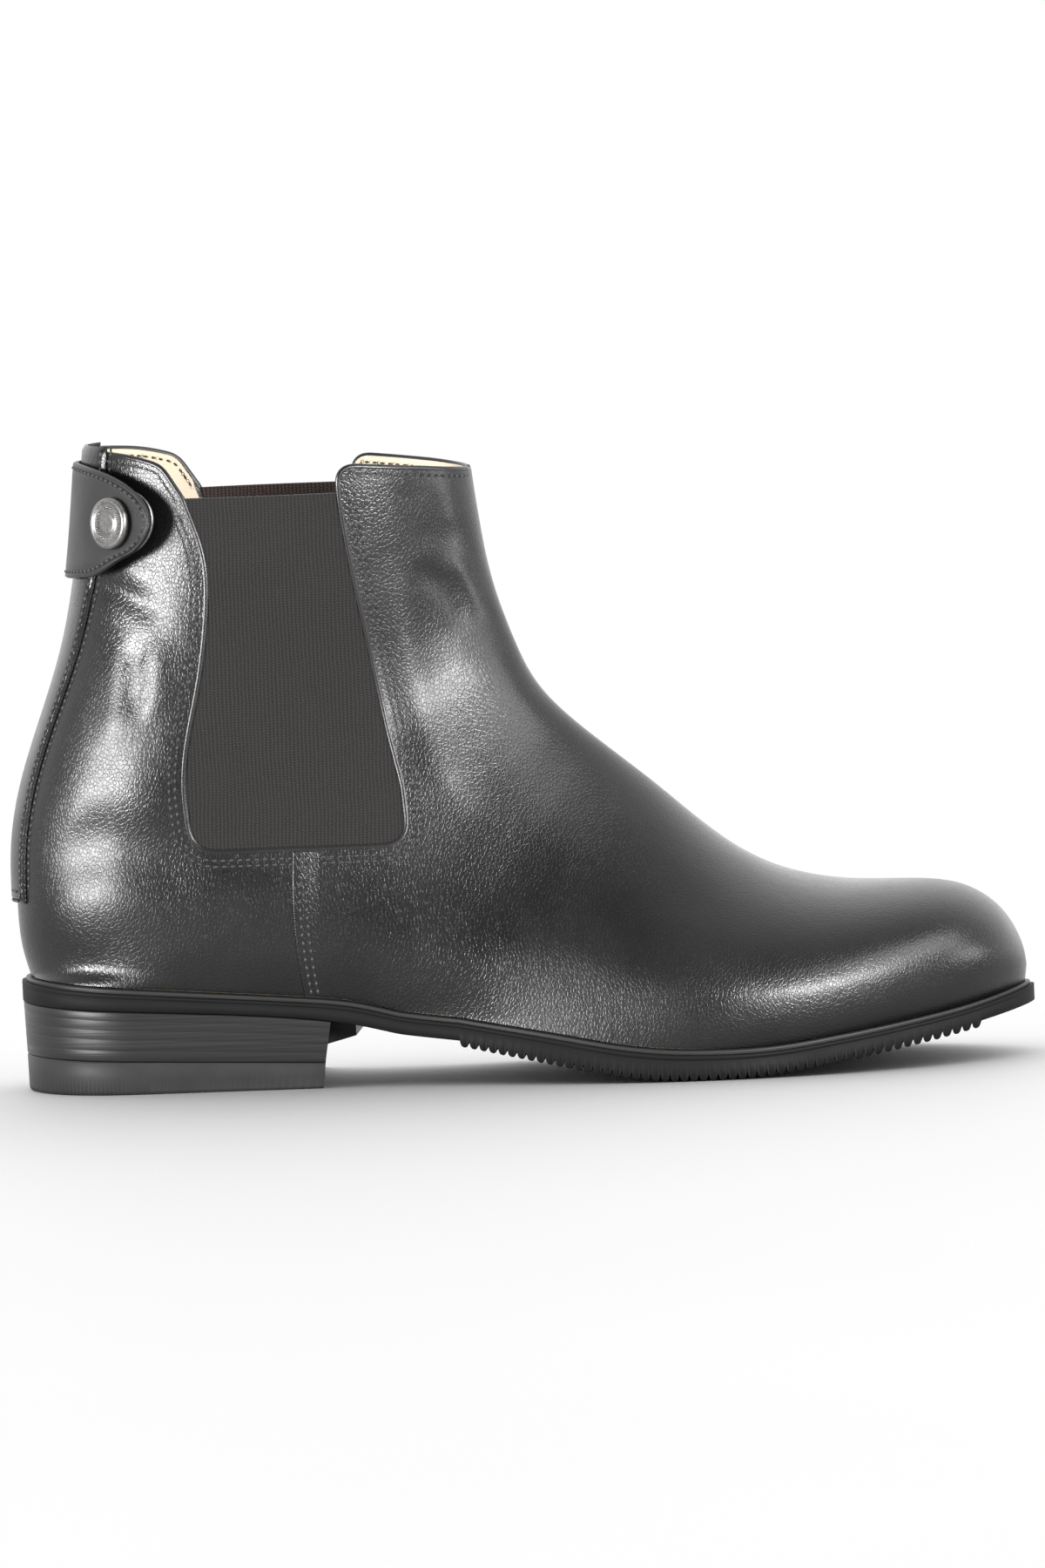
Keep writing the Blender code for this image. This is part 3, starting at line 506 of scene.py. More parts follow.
def crease_lift(side, x, z):
    """Height of the soft folds at places seen from the side."""
    lift = np.zeros(x.shape)
    for k in np.flatnonzero(CREASES["side"] == side):
        start = np.array([along(CREASES["at_0"][k]), CREASES["level_0"][k] * HEIGHT])
        end = np.array([along(CREASES["at_1"][k]), CREASES["level_1"][k] * HEIGHT])
        run = end - start
        length = np.hypot(*run)
        run = run / length
        share = ((x - start[0]) * run[0] + (z - start[1]) * run[1]) / length
        sag = CREASES["bow"][k] * length * 4 * np.clip(share, 0, 1) * (1 - np.clip(share, 0, 1))
        off = (x - start[0]) * -run[1] + (z - start[1]) * run[0] - sag
        fade = smooth((share + 0.15) / 0.45) * smooth((1.15 - share) / 0.45)
        lift += CREASES["depth"][k] * fade * np.exp(-(off / CREASES["width"][k]) ** 2)
    return lift


def make_skin():
    """The upper's outer face on a fine grid for each side, with its soft folds."""
    stations = np.linspace(FIRST, LAST, SKIN_ROWS)
    station, rise = np.meshgrid(stations, half_spacing(SKIN_COLUMNS), indexing="ij")
    weight = np.exp(-((station - HEEL_STATION) / RELAX_SPAN) ** 2) * smooth(rise / RELAX_START)
    skins = []
    for side, points in enumerate(upper_points(station, rise)):
        for _ in range(RELAX_PASSES):
            change = (points[:-2] + points[2:]) / 2 - points[1:-1]
            points[1:-1] += 0.5 * weight[1:-1, :, None] * change
        normal = grid_normals(points, 1 if side == 0 else -1)
        lift = crease_lift(side, points[..., 0], points[..., 2])
        lift *= smooth(rise / 0.08) * smooth((1 - rise) / 0.05)
        points = points + normal * lift[..., None]
        skins.append((points, grid_normals(points, 1 if side == 0 else -1)))
    return skins


SKIN = make_skin()


def between(grid, row, column):
    """Value of a grid between its rows and columns."""
    i = np.minimum(row.astype(int), grid.shape[0] - 2)
    j = np.minimum(column.astype(int), grid.shape[1] - 2)
    a = (row - i)[..., None]
    b = (column - j)[..., None]
    return ((1 - a) * ((1 - b) * grid[i, j] + b * grid[i, j + 1])
            + a * ((1 - b) * grid[i + 1, j] + b * grid[i + 1, j + 1]))


def grid_read(grid, station, rise):
    """Value of a grid of the skin at a station and rise."""
    row = np.clip((station - FIRST) / (LAST - FIRST), 0, 1) * (SKIN_ROWS - 1)
    column = np.arccos(np.clip(1 - 2 * rise, -1, 1)) / np.pi * (SKIN_COLUMNS - 1)
    return between(grid, row, column)


# Passes that bring the point read from the softened skin back to the place that was asked for
SIDE_PASSES = 2


def on_side(side, x, z):
    """Point and normal of the leather at a place seen from the side."""
    points, normals = SKIN[side]
    asked = np.stack(np.broadcast_arrays(x, z), -1).astype(float)
    tried = asked.copy()
    for _ in range(SIDE_PASSES):
        found = grid_read(points, *fan_place(tried[..., 0], tried[..., 1]))
        tried += asked - found[..., [0, 2]]
    station, rise = fan_place(tried[..., 0], tried[..., 1])
    return grid_read(points, station, rise), unit(grid_read(normals, station, rise))


BACK_REACH = 0.050
BACK_COLUMNS = 181
BACK_ROWS = 281


def make_back():
    """The leather's back on a grid of height and reach, lateral side negative, with its normals."""
    heights = np.linspace(climb_height(0.03), 1.05 * HEIGHT, BACK_ROWS)
    depth = GIRTH_DEPTH * np.linspace(0, 1, GIRTH_STEPS) ** 2
    level = np.repeat(heights[:, None], GIRTH_STEPS, 1)
    places = fan_place(back_x(level) + depth, level)
    sides = [grid_read(SKIN[side][0], *places) for side in (0, 1)]
    reach = np.linspace(-BACK_REACH, BACK_REACH, BACK_COLUMNS)
    points = np.zeros((BACK_ROWS, BACK_COLUMNS, 3))
    for side, part in ((0, reach < 0), (1, reach >= 0)):
        for row, line in enumerate(sides[side]):
            arc = np.append(0.0, np.cumsum(np.hypot(np.diff(line[:, 0]), np.diff(line[:, 1]))))
            for k in range(3):
                points[row, part, k] = np.interp(np.abs(reach[part]), arc, line[:, k])
    for _ in range(2):
        points[:, 1:-1] = (points[:, :-2] + 2 * points[:, 1:-1] + points[:, 2:]) / 4
    return heights, points, unit(np.cross(np.gradient(points, axis=0), np.gradient(points, axis=1)))


BACK_HEIGHTS, BACK_POINTS, BACK_NORMALS = make_back()


def on_back(reach, z):
    """Point and normal of the leather at a reach round the back and a height."""
    reach, z = np.broadcast_arrays(np.asarray(reach, float), np.asarray(z, float))
    row = np.clip((z - BACK_HEIGHTS[0]) / (BACK_HEIGHTS[-1] - BACK_HEIGHTS[0]), 0, 1) * (BACK_ROWS - 1)
    column = np.clip((reach + BACK_REACH) / (2 * BACK_REACH), 0, 1) * (BACK_COLUMNS - 1)
    return between(BACK_POINTS, row, column), unit(between(BACK_NORMALS, row, column))


# Meshes

def new_object(name, mesh, look, sharp=40):
    piece = bpy.data.objects.new(name, mesh)
    bpy.context.scene.collection.objects.link(piece)
    for each in look if isinstance(look, (list, tuple)) else [look]:
        if each:
            mesh.materials.append(each)
    mesh.shade_smooth()
    mesh.set_sharp_from_angle(angle=np.radians(sharp))
    return piece


def fast_mesh(name, points, faces):
    mesh = bpy.data.meshes.new(name)
    mesh.from_pydata(np.asarray(points, float).tolist(), [], faces)
    return mesh


# Distance within which points of a solid become one
MERGE = 2e-6


def solid(name, points, faces, look, sharp=40):
    """A closed solid with its faces turned outwards."""
    mesh = fast_mesh(name, points, faces)
    form = bmesh.new()
    form.from_mesh(mesh)
    bmesh.ops.remove_doubles(form, verts=form.verts, dist=MERGE)
    bmesh.ops.dissolve_degenerate(form, edges=form.edges, dist=MERGE / 4)
    bmesh.ops.recalc_face_normals(form, faces=form.faces)
    if form.calc_volume(signed=True) < 0:
        bmesh.ops.reverse_faces(form, faces=form.faces)
    form.to_mesh(mesh)
    form.free()
    return new_object(name, mesh, look, sharp)


def slab(name, outer, inner, look, sharp):
    """A solid between two grids of points."""
    rows, columns = outer.shape[:2]
    count = rows * columns
    at = np.arange(count).reshape(rows, columns)
    quads = np.stack([at[:-1, :-1], at[:-1, 1:], at[1:, 1:], at[1:, :-1]], -1).reshape(-1, 4)
    faces = quads.tolist() + (quads[:, ::-1] + count).tolist()
    rim = list(at[0, :-1]) + list(at[:-1, -1]) + list(at[-1, :0:-1]) + list(at[:0:-1, 0])
    for k, here in enumerate(rim):
        there = rim[(k + 1) % len(rim)]
        faces.append([int(here), int(here) + count, int(there) + count, int(there)])
    return solid(name, np.concatenate([outer.reshape(-1, 3), inner.reshape(-1, 3)]), faces, look, sharp)


def rings(name, loops, look, sharp=40, closed=False):
    """A solid through closed loops of equal length."""
    loops = np.asarray(loops, float)
    rows, columns = loops.shape[:2]
    at = np.arange(rows * columns).reshape(rows, columns)
    after = np.roll(at, -1, 1)
    low = at if closed else at[:-1]
    low_after = after if closed else after[:-1]
    high = np.roll(at, -1, 0) if closed else at[1:]
    high_after = np.roll(after, -1, 0) if closed else after[1:]
    faces = np.stack([low, low_after, high_after, high], -1).reshape(-1, 4).tolist()
    if not closed:
        faces.append(at[0].tolist())
        faces.append(at[-1].tolist())
    return solid(name, loops.reshape(-1, 3), faces, look, sharp)


def boolean(piece, tool, operation):
    change = piece.modifiers.new(operation.lower(), "BOOLEAN")
    change.operation = operation
    change.solver = "EXACT"
    change.object = tool


def apply_modifiers(piece, sharp=40):
    """Bakes the modifiers into the mesh and removes their tools."""
    tools = [change.object for change in piece.modifiers if change.type == "BOOLEAN"]
    bpy.context.view_layer.update()
    graph = bpy.context.evaluated_depsgraph_get()
    mesh = bpy.data.meshes.new_from_object(piece.evaluated_get(graph))
    piece.modifiers.clear()
    piece.data = mesh
    mesh.shade_smooth()
    mesh.set_sharp_from_angle(angle=np.radians(sharp))
    for tool in tools:
        bpy.data.objects.remove(tool, do_unlink=True)


def side_prism(name, outline, low=-FAR, high=FAR):
    """A prism across the boot from an outline of X and Z."""
    tool = rings(name, [[(x, y, z) for x, z in outline] for y in (low, high)], None)
    tool.hide_render = True
    return tool


FILLET_STEPS = 9


def fillet(corner, before, after, radius):
    """Points of an arc that rounds a corner of an outline."""
    corner, before, after = (np.asarray(point, float) for point in (corner, before, after))
    one = unit(before - corner)
    two = unit(after - corner)
    half = np.arccos(np.clip(one @ two, -1, 1)) / 2
    run = min(radius / np.tan(half), 0.49 * np.linalg.norm(before - corner),
              0.49 * np.linalg.norm(after - corner))
    start = corner + one * run
    end = corner + two * run
    share = np.linspace(0, 1, FILLET_STEPS)[:, None]
    return list((1 - share) ** 2 * start + 2 * share * (1 - share) * corner + share ** 2 * end)


# Outlines of the leather's edges, seen from the side

REAR_JOIN = 0.9195
FRONT_JOIN = 0.9407
# Step along the leather's edges, from point to point
EDGE_STEP = 0.0008


def window_chains(inset=0.0, top=WINDOW_TOP):
    """Rear edge and front edge of the elastic's opening, each from its top to the bottom middle."""
    rear = spline(WINDOW["level"], WINDOW["rear"])
    front = spline(WINDOW["level"], WINDOW["front"])
    levels = np.linspace(WINDOW_STRAIGHT, top, 30)
    bottom = WINDOW_BOTTOM * HEIGHT + inset
    rear_points = [(float(along(rear(level))) + inset, level * HEIGHT) for level in levels[::-1]]
    front_points = [(float(along(front(level))) - inset, level * HEIGHT) for level in levels[::-1]]
    low = bottom / HEIGHT
    corners = [(float(along(rear(low))) + inset, bottom), (float(along(front(low))) - inset, bottom)]
    radius = WINDOW_CORNER - inset
    rear_chain = rear_points + fillet(corners[0], rear_points[-1], corners[1], radius)
    front_chain = front_points + fillet(corners[1], front_points[-1], corners[0], radius)
    return np.array(rear_chain, float), np.array(front_chain, float)


def window_outline(inset=0.0):
    rear, front = window_chains(inset)
    return np.concatenate([rear, front[::-1]])


def collar_line():
    """The collar line from the back to the front."""
    corners = [(float(along(at)), level * HEIGHT) for at, level in zip(COLLAR["at"], COLLAR["level"])]
    line = [corners[0]]
    for before, corner, after, radius in zip(corners, corners[1:], corners[2:], COLLAR["radius"][1:]):
        line += fillet(corner, before, after, radius)
    line.append(corners[-1])
    return np.array(line, float)


def collar_outline():
    line = collar_line()
    return np.concatenate([line, [(line[-1, 0], 2 * HEIGHT), (line[0, 0], 2 * HEIGHT)]])


def walk(path, step):
    """A path read again at even steps."""
    path = np.asarray(path, float)
    arc = np.append(0.0, np.cumsum(np.linalg.norm(np.diff(path, axis=0), axis=1)))
    count = max(int(round(arc[-1] / step)), 1) + 1
    at = np.linspace(0, arc[-1], count)
    return np.stack([np.interp(at, arc, path[:, k]) for k in range(path.shape[1])], -1)


def offset(path, distance):
    """A flat path moved to its left by a distance."""
    run = unit(np.gradient(path, axis=0))
    return path + np.stack([-run[:, 1], run[:, 0]], -1) * distance


def front_x(z):
    """X of the upper's front outline at a height."""
    stations = np.linspace(HEEL_STATION - 4, LAST, 60)
    return np.interp(z, SECTION["top_z"](stations) * HEIGHT, along(SECTION["top_x"](stations)))


def edge_paths():
    """The leather's edge on one side: quarter top, window and vamp top, as three flat paths."""
    line = collar_line()
    rear, front = window_chains()
    middle = along(0.27)
    quarter = line[(line[:, 0] < middle) & (line[:, 1] > REAR_JOIN * HEIGHT)]
    vamp = line[(line[:, 0] > middle) & (line[:, 1] > FRONT_JOIN * HEIGHT * 0.97)]
    vamp = vamp[(vamp[:, 1] > FRONT_JOIN * HEIGHT) | (vamp[:, 0] > along(0.42))]
    vamp = walk(vamp, EDGE_STEP)
    vamp = vamp[vamp[:, 0] < front_x(vamp[:, 1])]
    window = np.concatenate([rear[rear[:, 1] < REAR_JOIN * HEIGHT],
                             front[front[:, 1] < FRONT_JOIN * HEIGHT][::-1]])
    return walk(quarter, EDGE_STEP), walk(window, EDGE_STEP), vamp


# Sides of the rolled edge's cord
TUBE_SIDES = 10


def tube(name, points, normals, width, height, look):
    """A flat-round cord along points, wide across the surface and high along its normals."""
    run = unit(np.gradient(points, axis=0))
    across = unit(np.cross(run, normals))
    up = np.cross(across, run)
    turn = 2 * np.pi * np.arange(TUBE_SIDES) / TUBE_SIDES
    loops = (points[:, None] + across[:, None] * (width * np.cos(turn))[None, :, None]
             + up[:, None] * (height * np.sin(turn))[None, :, None])
    return rings(name, loops, look, 60)


def join(name, pieces, look):
    """Several objects as one mesh."""
    form = bmesh.new()
    for piece in pieces:
        form.from_mesh(piece.data)
    mesh = bpy.data.meshes.new(name)
    form.to_mesh(mesh)
    form.free()
    for piece in pieces:
        bpy.data.objects.remove(piece, do_unlink=True)
    return new_object(name, mesh, look, 50)


# Stitches

STITCH_PITCH = 0.0024
STITCH_LENGTH = 0.00165
STITCH_HALF = 0.00034
STITCH_SINK = 0.00008
HOLE_RADIUS = 0.00048


def stitch_form():
    """One stitch: a short arched thread with round ends, along X."""
    along_it = np.array([-0.5, -0.42, -0.22, 0.0, 0.22, 0.42, 0.5]) * STITCH_LENGTH
    size = np.array([0.15, 0.70, 1.0, 1.0, 1.0, 0.70, 0.15])
    rise = np.array([-0.9, -0.35, 0.25, 0.45, 0.25, -0.35, -0.9]) * STITCH_HALF
    turn = 2 * np.pi * np.arange(6) / 6
    points = [(x, STITCH_HALF * s * np.cos(t), h + STITCH_HALF * s * np.sin(t))
              for x, s, h in zip(along_it, size, rise) for t in turn]
    faces = [[i * 6 + j, i * 6 + (j + 1) % 6, (i + 1) * 6 + (j + 1) % 6, (i + 1) * 6 + j]
             for i in range(len(along_it) - 1) for j in range(6)]
    faces.append(list(range(6))[::-1])
    faces.append([(len(along_it) - 1) * 6 + j for j in range(6)])
    return np.array(points), faces


def hole_form():
    turn = 2 * np.pi * np.arange(8) / 8
    ring = [(HOLE_RADIUS * 1.2 * np.cos(t), HOLE_RADIUS * np.sin(t), 0.0) for t in turn]
    return np.array(ring + [(0.0, 0.0, -0.00012)]), [[i, (i + 1) % 8, 8] for i in range(8)]


def repeated(name, form, points, runs, normals, look, sharp=60):
    """Copies of a small form, one at each point, along the path and up its normals."""
    base, faces = form
    across = unit(np.cross(normals, runs))
    up = unit(np.cross(runs, across))
    places = (points[:, None] + runs[:, None] * base[None, :, 0:1]
              + across[:, None] * base[None, :, 1:2] + up[:, None] * base[None, :, 2:3])
    every = [[k + i * len(base) for k in face] for i in range(len(points)) for face in faces]
    return new_object(name, fast_mesh(name, places.reshape(-1, 3), every), look, sharp)


STITCHES = {"points": [], "runs": [], "normals": []}


def sew(points, normals, pitch=STITCH_PITCH):
    """Puts a row of stitches along a path on the leather."""
    both = walk(np.concatenate([points, normals], 1), pitch / 8)
    spots, up = both[:, :3], unit(both[:, 3:])
    arc = np.append(0.0, np.cumsum(np.linalg.norm(np.diff(spots, axis=0), axis=1)))
    count = int(arc[-1] / pitch)
    for k in range(count):
        i = int(np.searchsorted(arc, (k + 0.5) * pitch))
        ahead = min(i + 3, len(spots) - 1)
        behind = max(i - 3, 0)
        STITCHES["points"].append(spots[i] - up[i] * STITCH_SINK)
        STITCHES["runs"].append(unit(spots[ahead] - spots[behind]))
        STITCHES["normals"].append(up[i])


def make_stitches(thread, hole_shade):
    points = np.array(STITCHES["points"])
    runs = np.array(STITCHES["runs"])
    normals = np.array(STITCHES["normals"])
    rng = np.random.default_rng(5)
    tilt = unit(np.cross(normals, runs)) * rng.normal(0, 0.05, len(runs))[:, None]
    stitches = repeated("stitches", stitch_form(), points, unit(runs + tilt), normals, thread)
    ends = points + runs * STITCH_PITCH / 2 + normals * (STITCH_SINK + 0.00006)
    # Near-black matte discs at the stitch ends: painted shade of the stitch holes.
    hole_shades = repeated("stitch_hole_shades", hole_form(), ends, runs, normals, hole_shade)
    return stitches, hole_shades


# Materials

def node(tree, kind, inputs=None, **settings):
    made = tree.nodes.new(kind)
    for key, value in settings.items():
        setattr(made, key, value)
    for key, value in (inputs or {}).items():
        if isinstance(value, bpy.types.NodeSocket):
            tree.links.new(value, made.inputs[key])
        else:
            made.inputs[key].default_value = value
    return made


def look(name, colour, roughness, **sockets):
    """A Principled material, its tree, its shader and its object coordinates."""
    made = bpy.data.materials.new(name)
    made.use_nodes = True
    tree = made.node_tree
    shader = tree.nodes["Principled BSDF"]
    shader.inputs["Base Color"].default_value = (*colour, 1.0)
    shader.inputs["Roughness"].default_value = roughness
    for key, value in sockets.items():
        shader.inputs[key.replace("_", " ")].default_value = value
    place = node(tree, "ShaderNodeTexCoord").outputs["Object"]
    return made, tree, shader, place


def math(tree, operation, a, b=0.5, clamp=False):
    return node(tree, "ShaderNodeMath", {0: a, 1: b}, operation=operation, use_clamp=clamp).outputs[0]


def wave(tree, value, pitch):
    """Sine of a value that comes back after each pitch."""
    return math(tree, "SINE", math(tree, "MULTIPLY", value, 2 * np.pi / pitch))


def noise(tree, place, scale, detail=2.0, stretch=None):
    if stretch:
        place = node(tree, "ShaderNodeMapping", {"Vector": place, "Scale": stretch}).outputs[0]
    made = node(tree, "ShaderNodeTexNoise", {"Vector": place, "Scale": scale, "Detail": detail})
    return made.outputs["Fac"]


def spread(tree, value, low, high, from_low=0.3, from_high=0.7):
    return node(tree, "ShaderNodeMapRange", {"Value": value, "From Min": from_low, "From Max": from_high,
                                             "To Min": low, "To Max": high}).outputs[0]


def colour_by(tree, shader, value, low, high):
    """Lets the colour run from low to high along a value."""
    made = node(tree, "ShaderNodeMix", {0: value, 6: (*low, 1.0), 7: (*high, 1.0)}, data_type="RGBA")
    tree.links.new(made.outputs[2], shader.inputs["Base Color"])


def shades_by(tree, shader, value, colour, low, high):
    """Lets the colour run between two shares of itself along a value."""
    colour_by(tree, shader, value, *(tuple(min(share * c, 1) for c in colour) for share in (low, high)))


def roughness_by(tree, shader, value, low, high):
    tree.links.new(spread(tree, value, low, high), shader.inputs["Roughness"])


def relief(tree, shader, *layers):
    """Bumps laid over each other, each with a height, a distance and a strength."""
    normal = None
    for height, distance, strength in layers:
        inputs = {"Height": height, "Distance": distance, "Strength": strength}
        if normal:
            inputs["Normal"] = normal
        normal = node(tree, "ShaderNodeBump", inputs).outputs[0]
    tree.links.new(normal, shader.inputs["Normal"])


def pebbles(tree, place, scale, stretch=(1.0, 1.0, 1.0)):
    """Height of fine leather grain: soft pebbles between narrow valleys."""
    place = node(tree, "ShaderNodeMapping", {"Vector": place, "Scale": stretch}).outputs[0]
    wobble = node(tree, "ShaderNodeTexNoise", {"Vector": place, "Scale": scale * 0.6, "Detail": 1.0})
    shift = node(tree, "ShaderNodeVectorMath", {0: wobble.outputs["Color"], "Scale": 0.6 / scale},
                 operation="SCALE").outputs[0]
    moved = node(tree, "ShaderNodeVectorMath", {0: place, 1: shift}, operation="ADD").outputs[0]
    cells = node(tree, "ShaderNodeTexVoronoi", {"Vector": moved, "Scale": scale},
                 feature="DISTANCE_TO_EDGE").outputs["Distance"]
    return node(tree, "ShaderNodeMapRange", {"Value": cells, "From Min": 0.0, "From Max": 0.22},
                interpolation_type="SMOOTHSTEP").outputs[0]


def leather_look(name, colour, grain, depth, gloss):
    made, tree, shader, place = look(name, colour, gloss, Coat_Weight=0.04, Coat_Roughness=0.20,
                                     Specular_IOR_Level=0.45)
    broad = noise(tree, place, 28.0, 3.0)
    shades_by(tree, shader, broad, colour, 0.75, 1.3)
    roughness_by(tree, shader, broad, gloss - 0.05, gloss + 0.08)
    relief(tree, shader, (noise(tree, place, 160.0), 0.0003, 0.25),
           (pebbles(tree, place, grain, (1.0, 1.0, 0.8)), depth, 0.8),
           (noise(tree, place, grain * 3.2), depth * 0.1, 0.4))
    return made


def thread_look():
    made, tree, shader, place = look("thread", (0.020, 0.020, 0.021), 0.50, Sheen_Weight=0.1)
    strands = noise(tree, place, 5000.0)
    roughness_by(tree, shader, strands, 0.40, 0.60)
    relief(tree, shader, (strands, 0.00005, 0.6))
    return made


# Near-black and matte: painted shade inside the stitch holes.
def hole_shade_look():
    made, tree, shader, place = look("hole_painted_shade", (0.002, 0.002, 0.002), 0.9)
    roughness_by(tree, shader, noise(tree, place, 900.0), 0.85, 0.95)
    return made


GORE_RIB = 0.0011
GORE_ROW = 0.00076


def elastic_look(name, colour, gap):
    """Ribbed woven elastic: upright ribs crossed by short rows that step from rib to rib, with painted
    shade in the valleys between them.
    """
    made, tree, shader, place = look(name, colour, 0.80, Sheen_Weight=0.06, Sheen_Roughness=0.5,
                                     Specular_IOR_Level=0.3)
    parts = node(tree, "ShaderNodeSeparateXYZ", {"Vector": place})
    wander = spread(tree, noise(tree, place, 60.0), -0.00035, 0.00035)
    across = math(tree, "ADD", parts.outputs["X"], wander)
    step = math(tree, "MULTIPLY", wave(tree, across, 2 * GORE_RIB), 1.4)
    rows = math(tree, "MULTIPLY", parts.outputs["Z"], 2 * np.pi / GORE_ROW)
    row = math(tree, "SINE", math(tree, "ADD", rows, step))
    both = math(tree, "ADD", math(tree, "MULTIPLY", wave(tree, across, GORE_RIB), 0.28),
                math(tree, "MULTIPLY", row, 0.22))
    height = math(tree, "ADD", both, 0.5, True)
    # The gap colour darkens the low parts of the weave: painted shade between the ribs and rows, laid on
    # the same heights as the bump.
    colour_by(tree, shader, height, gap, colour)
    relief(tree, shader, (height, 0.00032, 1.0), (noise(tree, place, 5200.0), 0.00008, 0.5))
    return made


def rubber_look(name, colour, gloss):
    made, tree, shader, place = look(name, colour, gloss, Specular_IOR_Level=0.16)
    broad = noise(tree, place, 60.0, 3.0)
    shades_by(tree, shader, broad, colour, 0.7, 1.4)
    roughness_by(tree, shader, broad, gloss - 0.06, gloss + 0.08)
    relief(tree, shader, (noise(tree, place, 2600.0, 3.0), 0.00005, 0.45))
    return made


def stack_look():
    """Waxed edge of stacked leather: fine level lines and soft streaks."""
    made, tree, shader, place = look("heel_stack_edge", (0.008, 0.0078, 0.0078), 0.42, Coat_Weight=0.05,
                                     Coat_Roughness=0.3, Specular_IOR_Level=0.35)
    lines = noise(tree, place, 1.0, 4.0, (3.0, 3.0, 2600.0))
    broad = noise(tree, place, 1.0, 3.0, (4.0, 4.0, 420.0))
    colour_by(tree, shader, broad, (0.004, 0.0039, 0.0039), (0.010, 0.0098, 0.0095))
    roughness_by(tree, shader, lines, 0.33, 0.50)
    relief(tree, shader, (lines, 0.00010, 0.55), (broad, 0.00010, 0.25))
    return made


def lining_look(name, colour):
    made, tree, shader, place = look(name, colour, 0.55, Sheen_Weight=0.15, Specular_IOR_Level=0.35)
    broad = noise(tree, place, 45.0, 4.0)
    shades_by(tree, shader, broad, colour, 0.84, 1.08)
    roughness_by(tree, shader, broad, 0.49, 0.63)
    relief(tree, shader, (pebbles(tree, place, 2100.0), 0.00003, 0.6),
           (noise(tree, place, 300.0, 3.0), 0.0002, 0.2))
    return made


def tape_look():
    made, tree, shader, place = look("zip_tape_weave", (0.016, 0.016, 0.017), 0.82, Sheen_Weight=0.2)
    parts = node(tree, "ShaderNodeSeparateXYZ", {"Vector": place})
    both = math(tree, "ADD", wave(tree, parts.outputs["Z"], 0.0007), wave(tree, parts.outputs["Y"], 0.0006))
    colour_by(tree, shader, noise(tree, place, 900.0), (0.010, 0.010, 0.011), (0.026, 0.026, 0.027))
    relief(tree, shader, (math(tree, "MULTIPLY", both, 0.25), 0.0002, 0.8))
    return made


def metal_look(name, colour, gloss):
    made, tree, shader, place = look(name, colour, gloss, Metallic=1.0)
    spots = noise(tree, place, 900.0, 3.0)
    shades_by(tree, shader, spots, colour, 0.8, 1.12)
    roughness_by(tree, shader, spots, gloss - 0.06, gloss + 0.10)
    relief(tree, shader, (noise(tree, place, 1.0, 3.0, (700.0, 700.0, 3800.0)), 0.00002, 0.35))
    return made


def floor_look():
    made, tree, shader, place = look("floor_paper", (0.90, 0.90, 0.90), 0.7)
    colour_by(tree, shader, noise(tree, place, 3.0), (0.89, 0.89, 0.89), (0.92, 0.92, 0.92))
    return made


LEATHER = leather_look("black_calf", (0.0030, 0.0029, 0.0030), 1000.0, 0.000036, 0.29)
STRAP_LEATHER = leather_look("strap_calf", (0.007, 0.007, 0.0075), 1700.0, 0.00002, 0.45)
EDGE_LEATHER = leather_look("edge_calf", (0.006, 0.006, 0.006), 1900.0, 0.00001, 0.30)
WELT_LEATHER = leather_look("welt_edge", (0.003, 0.003, 0.003), 1900.0, 0.00001, 0.50)
THREAD = thread_look()
HOLE_SHADE = hole_shade_look()
# The second colour of each elastic is painted shade in the valleys of the weave.
ELASTIC = elastic_look("elastic_rib", (0.0185, 0.0162, 0.0153), (0.0008, 0.0007, 0.0007))
ELASTIC_BACK = elastic_look("elastic_back", (0.048, 0.030, 0.025), (0.006, 0.004, 0.0035))
RUBBER = rubber_look("sole_rubber", (0.0022, 0.0022, 0.0023), 0.60)
LIFT_RUBBER = rubber_look("lift_rubber", (0.020, 0.020, 0.0205), 0.45)
STACK = stack_look()
LINING = lining_look("lining_calf", (0.60, 0.49, 0.37))
INSOLE_LOOK = lining_look("insole_calf", (0.50, 0.385, 0.28))
TAPE = tape_look()
NICKEL = metal_look("gunmetal", (0.21, 0.205, 0.20), 0.33)
TEETH = metal_look("zip_teeth", (0.10, 0.10, 0.10), 0.40)

PIECES = []


def show(piece, slot, *nodes):
    """Puts a piece on the boot, hides the solids that it stands for and lists it with the pieces that the
    softboxes light; slot is not used.
    """
    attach(piece, "root")
    if nodes:
        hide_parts(*nodes)
    PIECES.append(piece)
    return piece


# Leather upper and its lining

LEATHER_WALL = 0.0013
LINING_GAP = 0.00004


